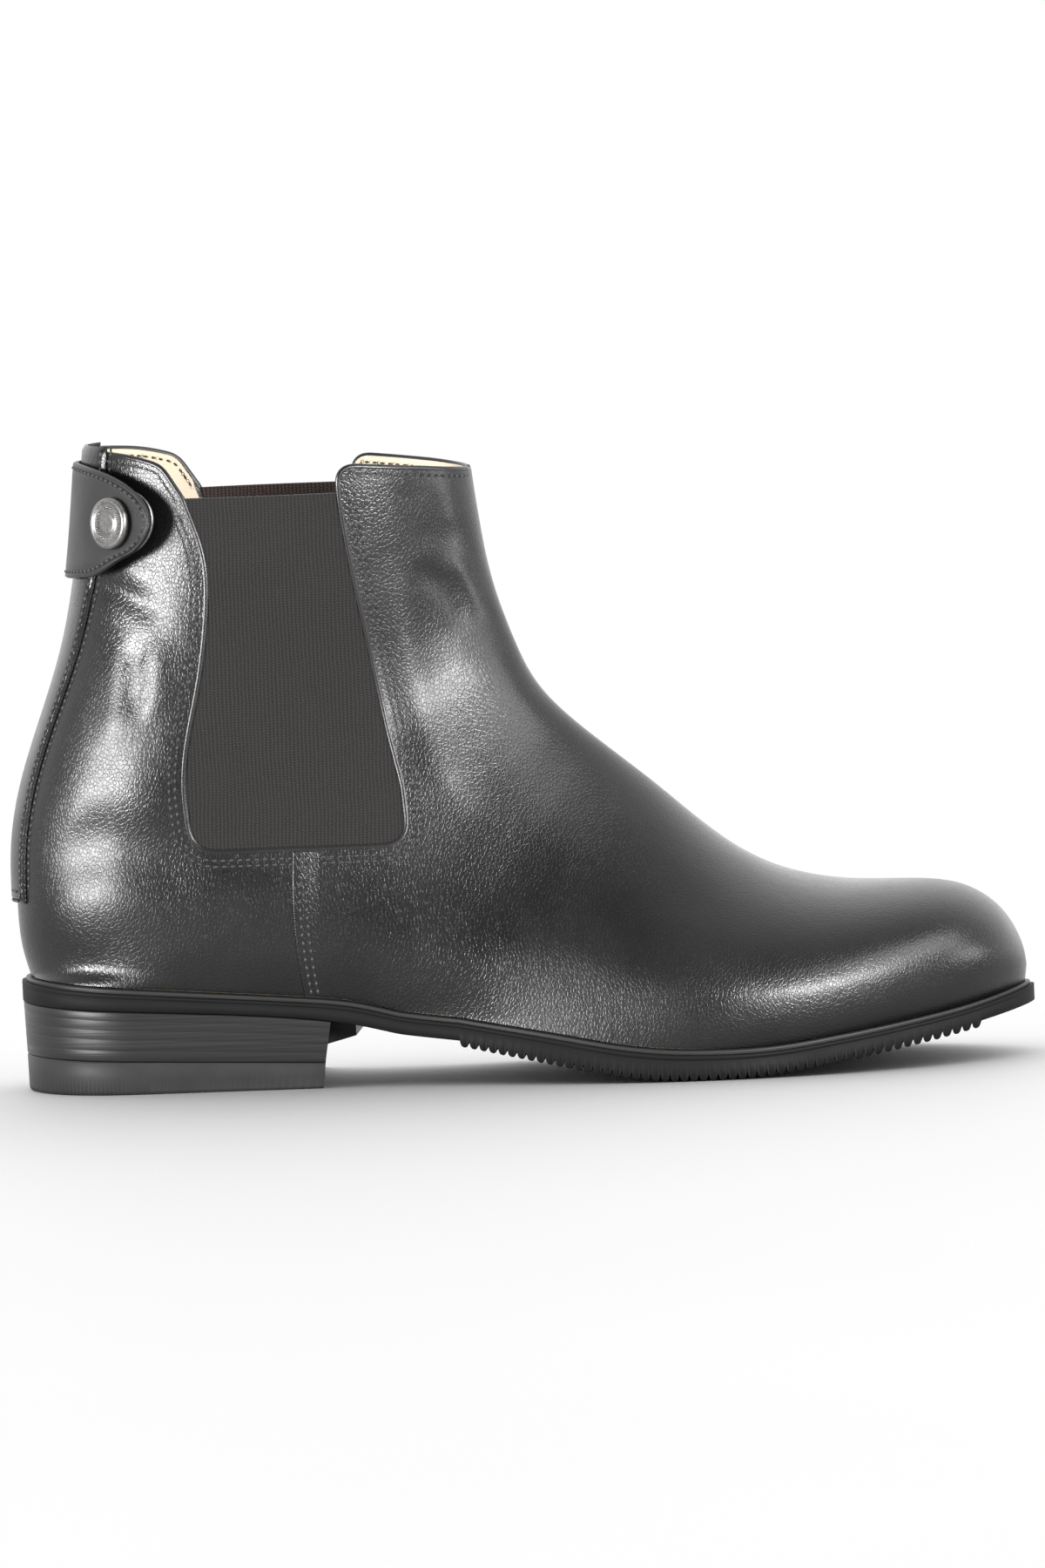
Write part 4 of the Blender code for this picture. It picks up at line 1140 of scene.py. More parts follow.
def upper_form(lift, thin):
    """The skin as an open mesh, lifted off the last."""
    lateral = SKIN[0][0][::thin, ::thin]
    medial = SKIN[1][0][::thin, ::thin]
    if thin > 1:
        lateral = np.concatenate([lateral, SKIN[0][0][::thin, -1:]], 1)
        medial = np.concatenate([medial, SKIN[1][0][::thin, -1:]], 1)
    points = np.concatenate([lateral, medial[:, -2::-1]], 1)
    rows, columns = points.shape[:2]
    at = np.arange(rows * columns).reshape(rows, columns)
    faces = np.stack([at[:-1, :-1], at[:-1, 1:], at[1:, 1:], at[1:, :-1]], -1).reshape(-1, 4)
    mesh = fast_mesh("skin", points.reshape(-1, 3), faces.tolist())
    form = bmesh.new()
    form.from_mesh(mesh)
    bpy.data.meshes.remove(mesh)
    bmesh.ops.remove_doubles(form, verts=form.verts, dist=2e-5)
    bmesh.ops.dissolve_degenerate(form, edges=form.edges, dist=1e-6)
    bmesh.ops.recalc_face_normals(form, faces=form.faces)
    toe_face = max(form.faces, key=lambda face: face.calc_center_median().x)
    if toe_face.normal.x < 0:
        bmesh.ops.reverse_faces(form, faces=form.faces)
    form.normal_update()
    for vertex in form.verts:
        on_rim = vertex.is_boundary and vertex.co.z < 1.05 * feather(vertex.co.x)
        if on_rim:
            vertex.normal = Vector((vertex.normal.x, vertex.normal.y, 0)).normalized()
        vertex.co += vertex.normal * lift
        if on_rim:
            vertex.co.z = feather(vertex.co.x)
    return form


def upper_wall(name, lift, thickness, look, thin=1):
    outer = upper_form(lift, thin)
    inner = upper_form(lift - thickness, thin)
    outer.verts.index_update()
    inner.verts.index_update()
    count = len(outer.verts)
    points = [vertex.co[:] for vertex in outer.verts] + [vertex.co[:] for vertex in inner.verts]
    faces = [[vertex.index for vertex in face.verts] for face in outer.faces]
    faces += [[vertex.index + count for vertex in reversed(face.verts)] for face in inner.faces]
    for edge in outer.edges:
        if edge.is_boundary:
            here, there = (vertex.index for vertex in edge.verts)
            faces.append([here, there, there + count, here + count])
    outer.free()
    inner.free()
    return solid(name, points, faces, look)


def back_grid(low, high, steps, lateral, medial, columns):
    """Reach and height over an upright strip up the back."""
    z = np.linspace(low, high, steps)
    share = np.linspace(0, 1, columns)
    reach = -lateral(z)[:, None] + (lateral(z) + medial(z))[:, None] * share
    return reach, np.repeat(z[:, None], columns, 1)


def even(value):
    """The same value at every height."""
    return lambda z: value + 0 * z


def back_slab(name, reach, z, inner_lift, outer_lift, look, sharp=40):
    face, normal = on_back(reach, z)
    outer = face + normal * np.expand_dims(outer_lift, -1)
    inner = face + normal * np.expand_dims(inner_lift, -1)
    return slab(name, outer, inner, look, sharp)


def slot_tool(extra=0.0):
    half = ZIP_WIDTH / 2 + FIT + extra
    low = climb_height(ZIP_FOOT) - FIT - extra
    reach, z = back_grid(low, SLOT_HEAD * HEIGHT, 24, even(half), even(half), 7)
    tool = back_slab("zip_cut", reach, z, -4 * WALL, 2 * WALL, None)
    tool.hide_render = True
    return tool


def make_upper():
    upper = upper_wall("upper_leather", 0.0, LEATHER_WALL, LEATHER)
    boolean(upper, side_prism("collar_cut", collar_outline()), "DIFFERENCE")
    boolean(upper, side_prism("window_cut", window_outline()), "DIFFERENCE")
    boolean(upper, slot_tool(), "DIFFERENCE")
    apply_modifiers(upper)
    show(upper, "black_leather", "upper")
    inner = upper_wall("upper_lining", -LEATHER_WALL - LINING_GAP, WALL - LEATHER_WALL, LINING, 2)
    boolean(inner, side_prism("collar_cut", collar_outline()), "DIFFERENCE")
    boolean(inner, side_prism("window_cut", window_outline(-0.0009)), "DIFFERENCE")
    boolean(inner, slot_tool(0.0004), "DIFFERENCE")
    apply_modifiers(inner)
    show(inner, "cream_leather")


BEAD_WIDE = 0.00095
BEAD_HIGH = 0.00068
WINDOW_ROWS = (0.0024, 0.0041)
COLLAR_ROW = 0.0018


def sew_through(points, normals):
    """A stitch row that also shows on the lining."""
    sew(points, normals)
    sew(points - normals * (WALL + LINING_GAP), -normals)


def make_edges():
    """Rolled edges of the leather and the stitch rows beside them."""
    quarter, window, vamp = edge_paths()
    beads = []
    for side in (0, 1):
        path = walk(np.concatenate([quarter, window, vamp]), EDGE_STEP)
        for _ in range(3):
            path[1:-1] = (path[:-2] + 2 * path[1:-1] + path[2:]) / 4
        place, normal = on_side(side, path[:, 0], path[:, 1])
        keep = place[:, 0] > back_x(place[:, 2]) + 0.0012
        beads.append(tube("bead", place[keep] - normal[keep] * (BEAD_HIGH - 0.0001), normal[keep],
                          BEAD_WIDE, BEAD_HIGH, EDGE_LEATHER))
        for row in WINDOW_ROWS:
            line = offset(window, -row)
            line = line[(line[:, 1] < 0.93 * HEIGHT)]
            sew(*on_side(side, line[:, 0], line[:, 1]))
        line = offset(quarter, -COLLAR_ROW)
        line = line[line[:, 0] > back_x(line[:, 1]) + 0.006]
        sew_through(*on_side(side, line[:, 0], line[:, 1]))
        line = offset(vamp, -COLLAR_ROW)
        line = line[line[:, 0] < front_x(line[:, 1]) - 0.0004]
        sew_through(*on_side(side, line[:, 0], line[:, 1]))
    show(join("edge_binding", beads, EDGE_LEATHER), "black_leather")


SEAM_TOP = 0.2870
SEAM_FOOT = 0.2925
SEAM_BAND = 0.0090
SEAM_STEP = 0.00075
SEAM_ROWS = (0.0021, 0.0040)


def make_side_seams():
    """The vamp's edge over the quarter below each elastic panel."""
    bands = []
    for side in (0, 1):
        up = np.linspace(0, 1, 40)
        z_top = WINDOW_BOTTOM * HEIGHT - 0.0008
        x_foot = float(along(SEAM_FOOT))
        z_foot = float(feather(x_foot)) + 0.0002
        x = along(SEAM_FOOT + (SEAM_TOP - SEAM_FOOT) * up) - 0.0012 * np.sin(np.pi * up)
        z = z_foot + (z_top - z_foot) * up
        out = np.linspace(0, 1, 22) ** 1.6
        across = x[:, None] + SEAM_BAND * out[None, :]
        level = np.repeat(z[:, None], len(out), 1)
        place, normal = on_side(side, across, level)
        round_off = np.clip(1 - out * SEAM_BAND / 0.0004, 0, 1)
        lift = SEAM_STEP * (1 - smooth(out)) * np.sqrt(1 - 0.75 * round_off ** 2) - 0.00003
        outer = place + normal * lift[None, :, None]
        inner = place - normal * 0.0003
        bands.append(slab("seam", outer, inner, LEATHER, 50))
        for row in SEAM_ROWS:
            spot, up_to = on_side(side, x + row, z)
            height = SEAM_STEP * (1 - smooth(np.array(row / SEAM_BAND)))
            sew(spot + up_to * height, up_to)
    show(join("side_seams", bands, LEATHER), "black_leather")


def make_gores():
    for side, name in ((0, "gore_lateral"), (1, "gore_medial")):
        rear, front = window_chains(FIT, GORE_TOP)
        bottom = WINDOW_BOTTOM * HEIGHT + FIT
        z = bottom + (GORE_TOP * HEIGHT - bottom) * np.linspace(0, 1, 96) ** 1.7
        left = np.interp(z, rear[::-1, 1], rear[::-1, 0])
        right = np.interp(z, front[::-1, 1], front[::-1, 0])
        share = np.linspace(0, 1, 330)
        x = left[:, None] + (right - left)[:, None] * share
        level = np.repeat(z[:, None], len(share), 1)
        point, normal = on_side(side, x, level)
        rib = 0.5 + 0.5 * np.sin(2 * np.pi * x / GORE_RIB)
        hem = np.exp(-((level - GORE_TOP * HEIGHT + 0.0010) / 0.0007) ** 2)
        depth = -GORE_SINK - 0.00016 * (1 - rib) + 0.00010 * hem
        outer = point + normal * depth[..., None]
        inner = point - normal * (GORE_SINK + GORE)
        panel = slab(name + "_elastic", outer, inner, [ELASTIC, ELASTIC_BACK], 60)
        flip = 1 if side == 0 else -1
        inward = [polygon.index for polygon in panel.data.polygons if polygon.normal.y * flip > 0.3]
        for index in inward:
            panel.data.polygons[index].material_index = 1
        show(panel, "black_elastic", name)


# Zip, flap, tab and snap at the back

def edge_function(name):
    edge = spline(FLAP_SHAPE["climb"], FLAP_SHAPE[name])
    return lambda z: edge(height_climb(z))


def rounded(distance, radius):
    """Share of full height near an edge that is rounded by a radius."""
    near = np.clip(1 - distance / radius, 0, 1)
    return np.sqrt(1 - 0.96 * near ** 2)


# The flap's stitch row, in from its edge, and the pitch of the rows on flap and tab
FLAP_ROW = 0.0014
STRAP_PITCH = 0.0022
FLAP_FOOT_PITCH = 0.0017


def make_flap():
    low = climb_height(FLAP_SHAPE["climb"][0])
    high = climb_height(FLAP_SHAPE["climb"][-1])
    lateral, medial = edge_function("lateral"), edge_function("medial")
    reach, z = back_grid(low, high, 90, lateral, medial, 34)
    from_edge = np.minimum(reach + lateral(z), medial(z) - reach)
    from_end = np.minimum(z - low, high - z)
    crown = rounded(np.clip(from_edge, 0, None), 0.0007) * rounded(np.clip(from_end, 0, None), 0.0007)
    ridge = 0.0004 * np.exp(-(reach / 0.0040) ** 2)
    groove = np.exp(-((from_edge - FLAP_ROW) / 0.0005) ** 2) * 0.00018
    outer_lift = FIT + FLAP * crown + ridge * smooth(from_edge / 0.004) - groove
    flap = back_slab("zip_flap_leather", reach, z, FIT * 0.5 + 0 * z, outer_lift, LEATHER, 50)
    show(flap, "black_leather", "zip_flap")
    for edge, sign in ((lateral, -1), (medial, 1)):
        line_z = np.linspace(low + 0.004, high - 0.001, 160)
        for row, lift in ((FLAP_ROW, FIT + FLAP), (-FLAP_ROW, 0.0)):
            spot, up = on_back(sign * (edge(line_z) - row), line_z)
            sew(spot + up * lift, up, STRAP_PITCH)
    left, right = -lateral(low), medial(low)
    corners = [(left, 0.0006), (right, 0.0006), (right, 0.0034), (left, 0.0034)]
    for one, two in zip(corners, corners[1:] + corners[:1]):
        share = np.linspace(0.06, 0.94, 30)
        reach_line = one[0] * 0.86 + (two[0] - one[0]) * 0.86 * share
        z_line = low + one[1] + (two[1] - one[1]) * share
        spot, up = on_back(reach_line, z_line)
        sew(spot + up * (FIT + FLAP), up, FLAP_FOOT_PITCH)


def make_zip():
    half = ZIP_WIDTH / 2
    reach, z = back_grid(climb_height(ZIP_FOOT), climb_height(ZIP_HEAD), 60, even(half), even(half), 12)
    tape = back_slab("zip_tape_strip", reach, z, -ZIP_TAPE - GORE_SINK, -GORE_SINK - 0.0004, TAPE)
    show(tape, "zip_tape", "zip")
    spots = np.arange(climb_height(ZIP_FOOT) + 0.002, climb_height(ZIP_HEAD) - 0.0005, 0.0015)
    signs = (-1, 1)
    box = np.array([(a * 0.0004, b * 0.0013, c * 0.0006) for a in signs for b in signs for c in signs])
    faces = [[0, 1, 3, 2], [4, 6, 7, 5], [0, 4, 5, 1], [2, 3, 7, 6], [0, 2, 6, 4], [1, 5, 7, 3]]
    reaches = np.where(np.arange(len(spots)) % 2 == 0, -0.0008, 0.0008)
    point, normal = on_back(reaches, spots)
    run = unit(np.gradient(on_back(0 * spots, spots)[0], axis=0))
    depths = {"zip_teeth_out": -GORE_SINK - 0.0003, "zip_teeth_in": -ZIP_TAPE - GORE_SINK - 0.0002}
    for name, depth in depths.items():
        teeth = repeated(name, (box, faces), point + normal * depth, run, normal, TEETH, 30)
        show(teeth, "zip_tape")


def tab_lift(reach):
    """Height of the tab's underside above the leather."""
    return TAB_LIFT + (SNAP_BASE + TAB_RISE - PULL) * np.clip(-reach / BASE_NEAR, 0, None) ** 2


def tab_half_height(reach):
    near = np.clip(-reach / TAB_REACH, 0, 1)
    return TAB_HEIGHT / 2 * (1 - near ** 2.4) ** 0.5


def tab_place(reach, z, lift):
    """A place over the tab, lifted off its outer face, with the direction out of it."""
    step = 0.0006
    stack_reach = np.stack([reach, reach + step, reach - step, reach, reach])
    stack_z = np.stack([z, z, z, z + step, z - step])
    point, normal = on_back(stack_reach, stack_z)
    face = point + normal * np.expand_dims(tab_lift(stack_reach) + TAB, -1)
    out = unit(np.cross(face[3] - face[4], face[1] - face[2]))
    return face[0] + out * np.expand_dims(lift, -1), out


# The tab's stitch row, in from its edge
TAB_ROW = 0.0017


def make_tab():
    middle = TAB_MIDDLE * HEIGHT
    turn = np.linspace(0.008, 1, 60)
    reach = -TAB_REACH * np.cos(turn * np.pi / 2)
    reach = np.append(reach, np.linspace(0, TAB_ROOT, 30)[1:])
    share = np.sin(np.linspace(-0.5, 0.5, 31) * np.pi)
    half = tab_half_height(reach)
    z = middle + half[:, None] * share
    wide = np.repeat(reach[:, None], len(share), 1)
    from_edge = (1 - np.abs(share))[None, :] * half[:, None]
    from_tip = np.minimum(wide + TAB_REACH, TAB_ROOT - wide)
    crown = rounded(from_edge, 0.0006) * rounded(np.clip(from_tip, 0, None), 0.0005)
    dimple = np.exp(-(((wide + SNAP_REACH) ** 2 + (z - middle) ** 2) / 0.0095 ** 2) ** 2)
    groove = 0.00020 * np.exp(-((from_edge - TAB_ROW) / 0.0005) ** 2)
    outer = tab_lift(wide) + TAB * (0.15 + 0.85 * crown) - 0.0004 * dimple - groove
    inner = tab_lift(wide) + TAB * 0.10 * (1 - crown)
    tab = back_slab("snap_tab_strap", wide, z, inner, outer, STRAP_LEATHER, 50)
    show(tab, "black_leather", "snap_tab")
    for sign in (1, -1):
        line_reach = np.append(-(TAB_REACH - TAB_ROW) * np.cos(np.linspace(0, 1, 60) * np.pi / 2),
                               np.linspace(0, TAB_ROOT - 0.001, 30)[1:])
        near = np.clip(-line_reach / (TAB_REACH - TAB_ROW), 0, 1)
        height = (TAB_HEIGHT / 2 - TAB_ROW) * (1 - near ** 2.4) ** 0.5
        spot, up = tab_place(line_reach, middle + sign * height, -0.0001)
        sew(spot, up, STRAP_PITCH)


def make_pull():
    top = TAB_MIDDLE * HEIGHT - PULL_TOP * TAB_HEIGHT
    bottom = TAB_MIDDLE * HEIGHT - TAB_HEIGHT / 2 - PULL_DROP
    reach, z = back_grid(bottom, top, 40, even(0.0), even(PULL_WIDTH), 14)
    reach = reach + PULL_SIDE - PULL_WIDTH / 2
    from_edge = np.minimum(reach - reach[:, :1], reach[:, -1:] - reach)
    crown = rounded(from_edge, 0.0004) * rounded(np.clip(z - bottom, 0, None), 0.0004)
    outer = BASE_LIFT + PULL * crown
    pull = back_slab("zip_pull_leather", reach, z, BASE_LIFT + 0 * z, outer, STRAP_LEATHER, 50)
    show(pull, "black_leather", "zip_pull")


# Steps round the snap cap, and studs on it
CAP_TURNS = 96
CAP_STUDS = 20


def turned(name, profile, centre, normal, look):
    """A turned piece from a profile of radius and height, standing on a place."""
    turn = 2 * np.pi * np.arange(CAP_TURNS) / CAP_TURNS
    frame_turn = Vector(normal).to_track_quat("Z", "Y").to_matrix()
    axes = np.array([frame_turn.col[k][:] for k in range(3)])
    loops = []
    for radius, height in profile:
        ring = (np.cos(turn)[:, None] * axes[0] + np.sin(turn)[:, None] * axes[1]) * radius
        loops.append(np.asarray(centre) + ring + axes[2] * height)
    return rings(name, loops, look, 45), axes


def make_snap():
    middle = TAB_MIDDLE * HEIGHT
    turn = np.linspace(-0.49 * np.pi, 0.49 * np.pi, 33)
    half = SNAP_BASE_RADIUS * np.cos(turn)
    share = np.sin(np.linspace(-0.5, 0.5, 25) * np.pi)
    z = middle + np.repeat((SNAP_BASE_RADIUS * np.sin(turn))[:, None], len(share), 1)
    reach = -SNAP_REACH + half[:, None] * share
    radius = np.hypot(reach + SNAP_REACH, z - middle)
    crown = rounded(np.clip(SNAP_BASE_RADIUS - radius, 0, None), 0.0004)
    lift = BASE_LIFT + SNAP_BASE * crown
    base = back_slab("snap_base_ring", reach, z, BASE_LIFT + 0 * z, lift, NICKEL, 50)
    show(base, "dark_nickel", "snap_base")
    seat, out = tab_place(np.array(-SNAP_REACH), np.array(middle), SNAP_FIT - 0.0004)
    r, t = SNAP_RADIUS, SNAP_THICKNESS
    outline = [(0.70, 0.0), (0.93, 0.0), (0.985, 0.12), (1.0, 0.32), (0.995, 0.60), (0.965, 0.82),
               (0.91, 0.96), (0.85, 1.0), (0.80, 0.95), (0.765, 0.84), (0.70, 0.80), (0.46, 0.80),
               (0.43, 0.86), (0.39, 0.93), (0.34, 0.95), (0.15, 0.965), (0.01, 0.97)]
    profile = [(radius_share * r, height_share * t) for radius_share, height_share in outline]
    cap, axes = turned("snap_cap_disc", profile, seat, out, NICKEL)
    show(cap, "dark_nickel", "snap_cap")
    turns = 2 * np.pi * np.arange(CAP_STUDS) / CAP_STUDS
    ring = (np.cos(turns)[:, None] * axes[0] + np.sin(turns)[:, None] * axes[1]) * 0.61 * r
    ball = bmesh.new()
    bmesh.ops.create_icosphere(ball, subdivisions=2, radius=0.00042)
    base_points = np.array([vertex.co[:] for vertex in ball.verts])
    base_faces = [[vertex.index for vertex in face.verts] for face in ball.faces]
    ball.free()
    normals = np.repeat(out[None, :], CAP_STUDS, 0)
    runs = unit(np.cross(normals, ring))
    places = seat + ring + out * 0.79 * t
    studs = repeated("snap_cap_dots", (base_points, base_faces), places, runs, normals, NICKEL)
    show(studs, "dark_nickel")


# Sole, welt and heel

def rib_height(x):
    """Share of the rib depth at a place along the sole: rounded teeth with narrow gaps."""
    ribs_from = along(RIBS_FROM)
    count = int((along(RIBS_TO) - ribs_from) / RIB_PITCH)
    place = (x - ribs_from) / RIB_PITCH
    phase = place - np.floor(place)
    inside = (place >= 0) & (place < count)
    lobe = np.clip(1 - np.abs((phase - 0.45) / 0.44) ** 2.6, 0, 1) ** 0.55
    return np.where(inside, lobe, 0.0)


def make_outsole():
    ribs_from, ribs_to = along(RIBS_FROM), along(RIBS_TO)
    fine = ribs_from + RIB_PITCH * np.arange(0, (ribs_to - ribs_from) / RIB_PITCH + 0.01, 1 / 12)
    ends = SOLE_BACK + (SOLE_TIP - SOLE_BACK) * half_spacing(170)
    plain = ends[(ends < ribs_from - 0.0003) | (ends > ribs_to + 0.0003)]
    x = np.unique(np.concatenate([fine, plain]))
    lateral, medial = plan(x)
    middle = centre_line(x)
    top = sole_top(x)
    bottom = sole_body(x) - rib_height(x) * RIB_DEPTH
    body = sole_top(x) - sole_body(x)
    small = np.minimum(SOLE_BEVEL, 0.4 * lateral)
    columns = [(1.6, top), (0.55, top - 0.12 * small), (0.12, top - 0.5 * small), (0.0, top - small),
               (0.0, top - 0.22 * body), (0.30, top - 0.26 * body), (0.30, top - 0.29 * body),
               (0.0, top - 0.33 * body), (0.0, bottom + 0.0003), (0.35, bottom + 0.00006), (1.2, bottom)]
    lateral_side = [np.stack([x, middle - lateral + inset * small, z], -1) for inset, z in columns]
    medial_side = [np.stack([x, middle + medial - inset * small, z], -1) for inset, z in columns[::-1]]
    loops = np.stack(lateral_side + medial_side, 1)
    show(rings("outsole_rubber", loops, RUBBER, 50), "black_rubber", "outsole")


def edge_ring(inset, steps):
    x = SOLE_BACK + inset + (SOLE_TIP - SOLE_BACK - 2 * inset) * half_spacing(steps)
    lateral, medial = plan(x, inset)
    middle = centre_line(x)
    there = np.stack([x, middle - lateral], -1)
    back = np.stack([x, middle + medial], -1)[-2:0:-1]
    return np.concatenate([there, back])


def make_welt():
    steps = 220
    outer = edge_ring(WELT_SHOW, steps)
    inner = edge_ring(SOLE_MARGIN + FEATHER_TUCK + WALL + FIT, steps)
    rows = [(0.0, 0.15), (-0.00012, 0.5), (0.0, 0.85), (0.00025, 0.97), (0.0006, 1.0)]
    loops = []
    for (x_out, y_out), (x_in, y_in) in zip(outer, inner):
        way = unit(np.array([x_in - x_out, y_in - y_out]))
        low_out = sole_top(x_out) + FIT * 0.2
        low_in = sole_top(x_in) + FIT * 0.2
        high = WELT + 0.6 * FIT
        loop = [(x_out + way[0] * inset, y_out + way[1] * inset, low_out + share * high)
                for inset, share in rows]
        loop += [(x_in, y_in, low_in + high), (x_in, y_in, low_in), (x_out, y_out, low_out)]
        loops.append(loop)
    show(rings("welt_strip", loops, WELT_LEATHER, 50, True), "black_leather", "welt")


def make_insole():
    inset = SOLE_MARGIN + FEATHER_TUCK + WALL + 3 * FIT
    x = SOLE_BACK + inset + (SOLE_TIP - SOLE_BACK - 2 * inset) * half_spacing(110)
    lateral, medial = plan(x, inset)
    middle = centre_line(x)
    low = sole_top(x) + FIT
    share = np.sin(np.linspace(-0.5, 0.5, 17) * np.pi)
    half = np.where(share < 0, lateral[:, None], medial[:, None])
    y = middle[:, None] + share * half
    edge = (1 - np.abs(share))[None, :] * lateral[:, None]
    crown = rounded(edge, 0.0010)
    height = INSOLE * (0.25 + 0.75 * crown) - 0.0004 * np.exp(-(share / 0.5) ** 2)[None, :]
    wide = np.repeat(x[:, None], len(share), 1)
    outer = np.stack([wide, y, low[:, None] + height], -1)
    inner = np.stack([wide, y, np.repeat(low[:, None], len(share), 1)], -1)
    show(slab("insole_sock", outer, inner, INSOLE_LOOK, 50), "cream_leather", "insole")


HEEL_FRONT = 0.3175
WEDGE_WIDTH = 0.030
WEDGE_REACH = 0.0058
WEDGE_FOOT = 0.0088
BREAST_STEPS = 24
HEEL_SEAMS = (0.22, 0.44, 0.63, 0.82)


def lift_top(x):
    return LIFT_FRONT + (along(HEEL_FRONT) - x) * LIFT_SLOPE


def heel_ring(level, inset, steps):
    """Plan of the heel as a ring at a level from 0 (floor) to 1."""
    back = SOLE_BACK + inset
    front = along(HEEL_FRONT) - BREAST_LEAN * (1 - level)
    share = np.sin(np.linspace(0, np.pi / 2, steps)) ** 2
    skew = BREAST_SKEW * HEEL_WIDTH * share ** 4
    lateral_x = back + (front - back) * share
    medial_x = back + (front - skew - back) * share
    lateral = np.stack([lateral_x, centre_line(lateral_x) - plan(lateral_x, inset)[0]], -1)
    medial = np.stack([medial_x, centre_line(medial_x) + plan(medial_x, inset)[1]], -1)
    across = lateral[-1] + (medial[-1] - lateral[-1]) * np.linspace(0, 1, BREAST_STEPS)[1:-1, None]
    return np.concatenate([lateral, across, medial[:0:-1]])


def heel_form(name, low, high, low_level, high_level, rows, look, steps=90):
    """A block of the heel. rows holds the share of the height and the inset of each ring."""
    loops = []
    for share, cut in rows:
        level = low_level + (high_level - low_level) * share
        ring = heel_ring(level, HEEL_INSET + HEEL_TAPER * (1 - level) + cut, steps)
        z = low(ring[:, 0]) + (high(ring[:, 0]) - low(ring[:, 0])) * share
        loops.append(np.concatenate([ring, z[:, None]], 1))
    return rings(name, loops, look, 50)


# Fine teeth round the foot of the top piece: pitch, height, share of the plan and mean radius
LIFT_TOOTH = 0.0011
TOOTH_HEIGHT = 0.0011
TOOTH_SHARE = 0.006
TOOTH_RADIUS = 0.033


def make_heel():
    seam_level = LIFT_FRONT / HEEL_HEIGHT
    rows = [(0.0, 0.0003), (0.012, 0.0001), (0.03, 0.0)]
    for seam in HEEL_SEAMS:
        rows += [(seam - 0.014, 0.0), (seam - 0.005, 0.00002), (seam + 0.005, 0.00002), (seam + 0.014, 0.0)]
    rows += [(0.97, 0.0), (0.988, 0.0001), (1.0, 0.0003)]
    gap = FIT * 0.4
    stack = heel_form("heel_stack_block", lambda x: lift_top(x) + gap, lambda x: sole_body(x) - gap,
                      seam_level, 1.0, rows, STACK)
    front = along(HEEL_FRONT)
    top = sole_body(front + WEDGE_REACH) - FIT
    wedge = [(front - 2 * WEDGE_REACH, top), (front + WEDGE_REACH, top),
             (front + WEDGE_REACH, 0.5 * (top + WEDGE_FOOT)), (front - 2 * WEDGE_REACH, WEDGE_FOOT)]
    middle = float(centre_line(front))
    tool = side_prism("breast_wedge", wedge, middle - WEDGE_WIDTH / 2, middle + WEDGE_WIDTH / 2)
    boolean(stack, tool, "UNION")
    apply_modifiers(stack, 50)
    show(stack, "heel_stack", "heel_stack")
    rows = [(0.0, 0.0005), (0.03, 0.0002), (0.09, 0.0), (0.12, 0.0), (0.5, 0.0), (0.95, 0.0), (1.0, 0.0003)]
    lift = heel_form("heel_lift_rubber", lambda x: 0 * x, lift_top, 0.0, seam_level, rows, LIFT_RUBBER, 420)
    middle_point = np.array([SOLE_BACK + 0.045, 0.0])
    for vertex in lift.data.vertices:
        if vertex.co.z < TOOTH_HEIGHT:
            from_middle = np.array(vertex.co[:2]) - middle_point
            turn = np.arctan2(from_middle[1], from_middle[0])
            tooth = 0.5 + 0.5 * np.sin(turn * TOOTH_RADIUS / LIFT_TOOTH * 2 * np.pi)
            vertex.co.x -= from_middle[0] * TOOTH_SHARE * tooth
            vertex.co.y -= from_middle[1] * TOOTH_SHARE * tooth
    show(lift, "black_rubber", "heel_top_lift")


# Floor, light and camera

AIM = (0.0, 0.0, 0.090)
CAMERA_AZIMUTH = 4.0
CAMERA_ELEVATION = 4.5
CAMERA_ROLL = 2.45
CAMERA_DISTANCE = 4.0
PICTURE_HEIGHT = 1800
PIXELS_PER_MM = 3.995
AIM_PIXEL = (590.5, 871.0)
PICTURE_CENTRE = (600.0, 900.0)
SENSOR = 0.036


def way_to(azimuth, elevation):
    """Direction from the boot to a place at an azimuth and elevation in radians."""
    level = np.cos(elevation)
    return Vector((np.sin(azimuth) * level, -np.cos(azimuth) * level, np.sin(elevation)))


def make_camera():
    azimuth, elevation, roll = np.radians([CAMERA_AZIMUTH, CAMERA_ELEVATION, CAMERA_ROLL])
    back = way_to(azimuth, elevation)
    right = Vector((np.cos(azimuth), np.sin(azimuth), 0.0))
    up = back.cross(right)
    cos, sin = np.cos(roll), np.sin(roll)
    view_right = right * cos - up * sin
    view_up = right * sin + up * cos
    data = bpy.data.cameras.new("camera")
    data.sensor_fit = "VERTICAL"
    data.sensor_height = SENSOR * 1000
    frame_height = PICTURE_HEIGHT / PIXELS_PER_MM / 1000
    data.lens = data.sensor_height * CAMERA_DISTANCE / frame_height
    data.clip_end = 20
    off_right = (PICTURE_CENTRE[0] - AIM_PIXEL[0]) / PIXELS_PER_MM / 1000
    off_up = (AIM_PIXEL[1] - PICTURE_CENTRE[1]) / PIXELS_PER_MM / 1000
    camera = bpy.data.objects.new("camera", data)
    turn = Matrix((view_right, view_up, back)).transposed()
    place = Vector(AIM) + view_right * off_right + view_up * off_up + back * CAMERA_DISTANCE
    camera.matrix_world = Matrix.Translation(place) @ turn.to_4x4()
    bpy.context.scene.collection.objects.link(camera)
    bpy.context.scene.camera = camera


LIGHT_DISTANCE = 1.4

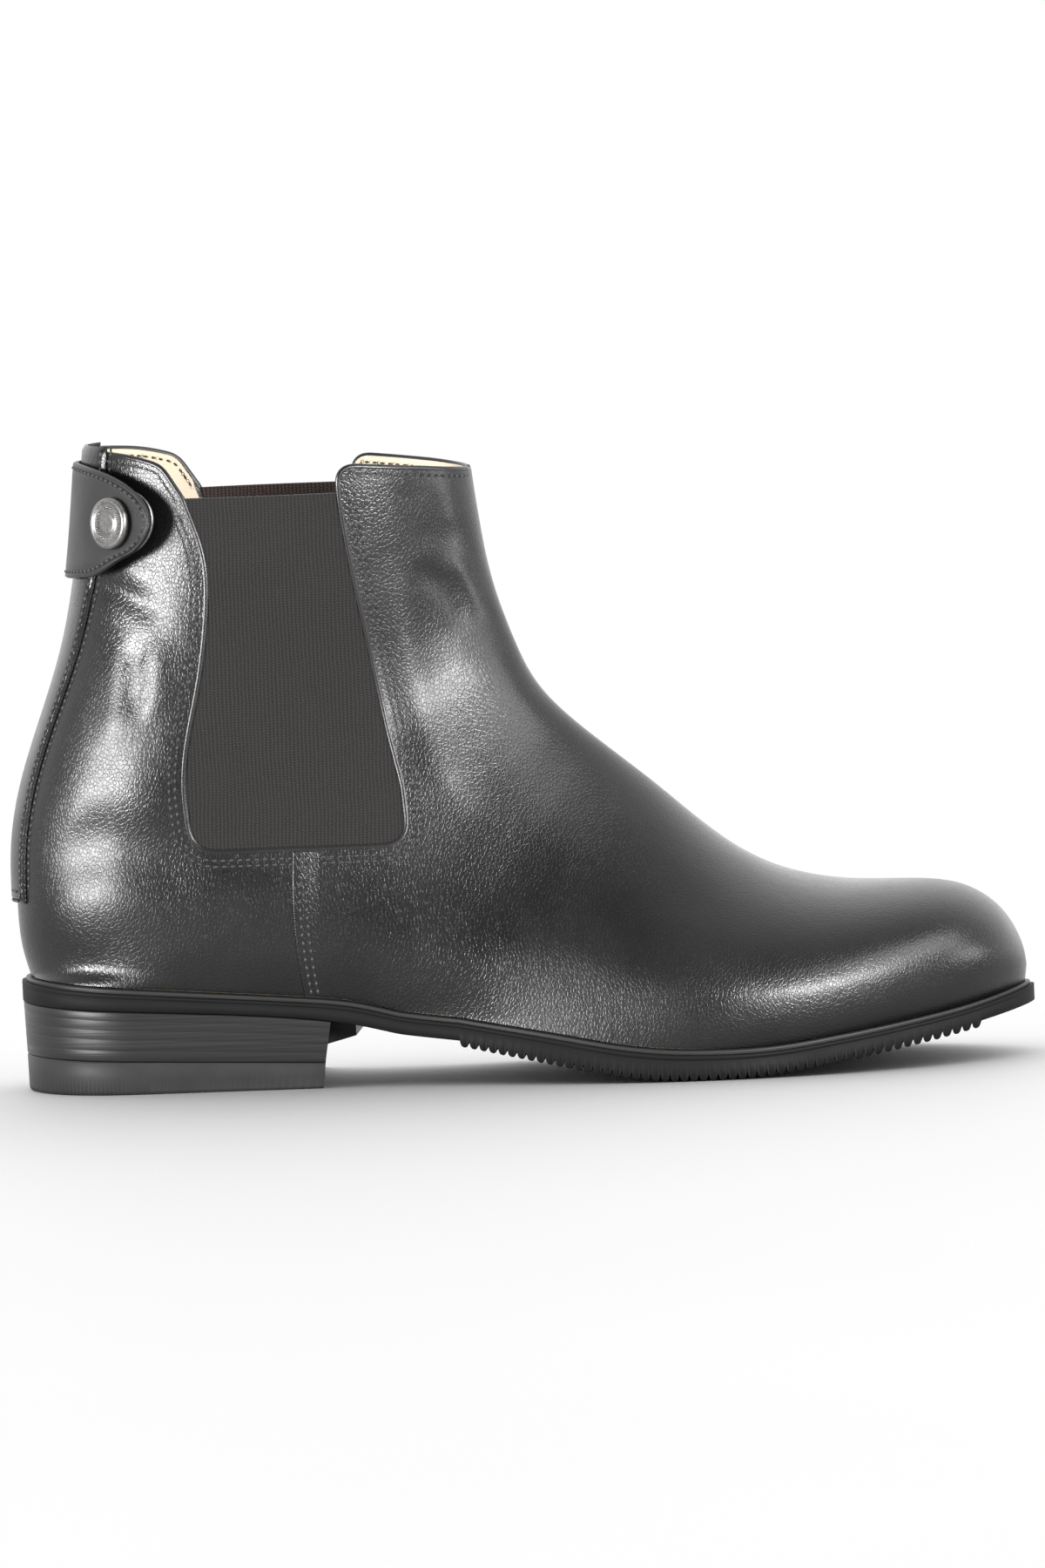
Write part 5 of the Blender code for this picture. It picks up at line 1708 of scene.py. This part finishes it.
# Each light box: aim, azimuth and elevation in degrees, width, height and brightness
LIGHTS = {
    "quarter_light": ((-0.10, 0, 0.09), -46, 5, 0.64, 0.21, 74),
    "toe_light": ((0.10, -0.03, 0.03), 25, 15, 0.52, 0.24, 68),
    "vamp_light": ((0.0, 0, 0.09), 54, 30, 1.10, 0.70, 5.5),
    "shaft_light": ((-0.02, 0, 0.14), 78, 3, 0.45, 0.36, 8),
}


def softbox(lit, name, aim, azimuth, elevation, width, height, brightness):
    """A light box at an azimuth from the boot's side, which lights the boot and not the floor."""
    data = bpy.data.lights.new(name, "AREA")
    data.shape = "RECTANGLE"
    data.size = width
    data.size_y = height
    data.energy = brightness * np.pi * width * height
    lamp = bpy.data.objects.new(name, data)
    way = way_to(*np.radians([azimuth, elevation]))
    lamp.location = Vector(aim) + way * LIGHT_DISTANCE
    lamp.rotation_euler = (-way).to_track_quat("-Z", "Y").to_euler()
    lamp.light_linking.receiver_collection = lit
    bpy.context.scene.collection.objects.link(lamp)


FLOOR_HALF = 60.0
SKY_FRONT = 0.16
SKY_BACK = 1.75


def make_studio():
    corners = [(-FLOOR_HALF, -FLOOR_HALF, 0), (FLOOR_HALF, -FLOOR_HALF, 0),
               (FLOOR_HALF, FLOOR_HALF, 0), (-FLOOR_HALF, FLOOR_HALF, 0)]
    floor = new_object("floor", fast_mesh("floor", corners, [[0, 1, 2, 3]]), floor_look())
    world = bpy.data.worlds.new("studio")
    world.use_nodes = True
    tree = world.node_tree
    way = node(tree, "ShaderNodeTexCoord").outputs["Generated"]
    parts = node(tree, "ShaderNodeSeparateXYZ", {"Vector": way})
    level = spread(tree, parts.outputs["Y"], SKY_FRONT, SKY_BACK, -0.8, 0.6)
    tree.links.new(level, tree.nodes["Background"].inputs["Strength"])
    tree.nodes["Background"].inputs["Color"].default_value = (1.0, 1.0, 1.0, 1.0)
    bpy.context.scene.world = world
    bpy.context.scene.view_settings.view_transform = "Standard"
    lit = bpy.data.collections.new("lit_by_softboxes")
    for piece in PIECES:
        lit.objects.link(piece)
    for name, values in LIGHTS.items():
        softbox(lit, name, *values)


make_camera()
make_upper()
make_edges()
make_side_seams()
make_gores()
make_zip()
make_flap()
make_tab()
make_pull()
make_snap()
make_outsole()
make_welt()
make_insole()
make_heel()
stitches, stitch_hole_shades = make_stitches(THREAD, HOLE_SHADE)
show(stitches, "black_leather")
show(stitch_hole_shades, "black_leather")
make_studio()
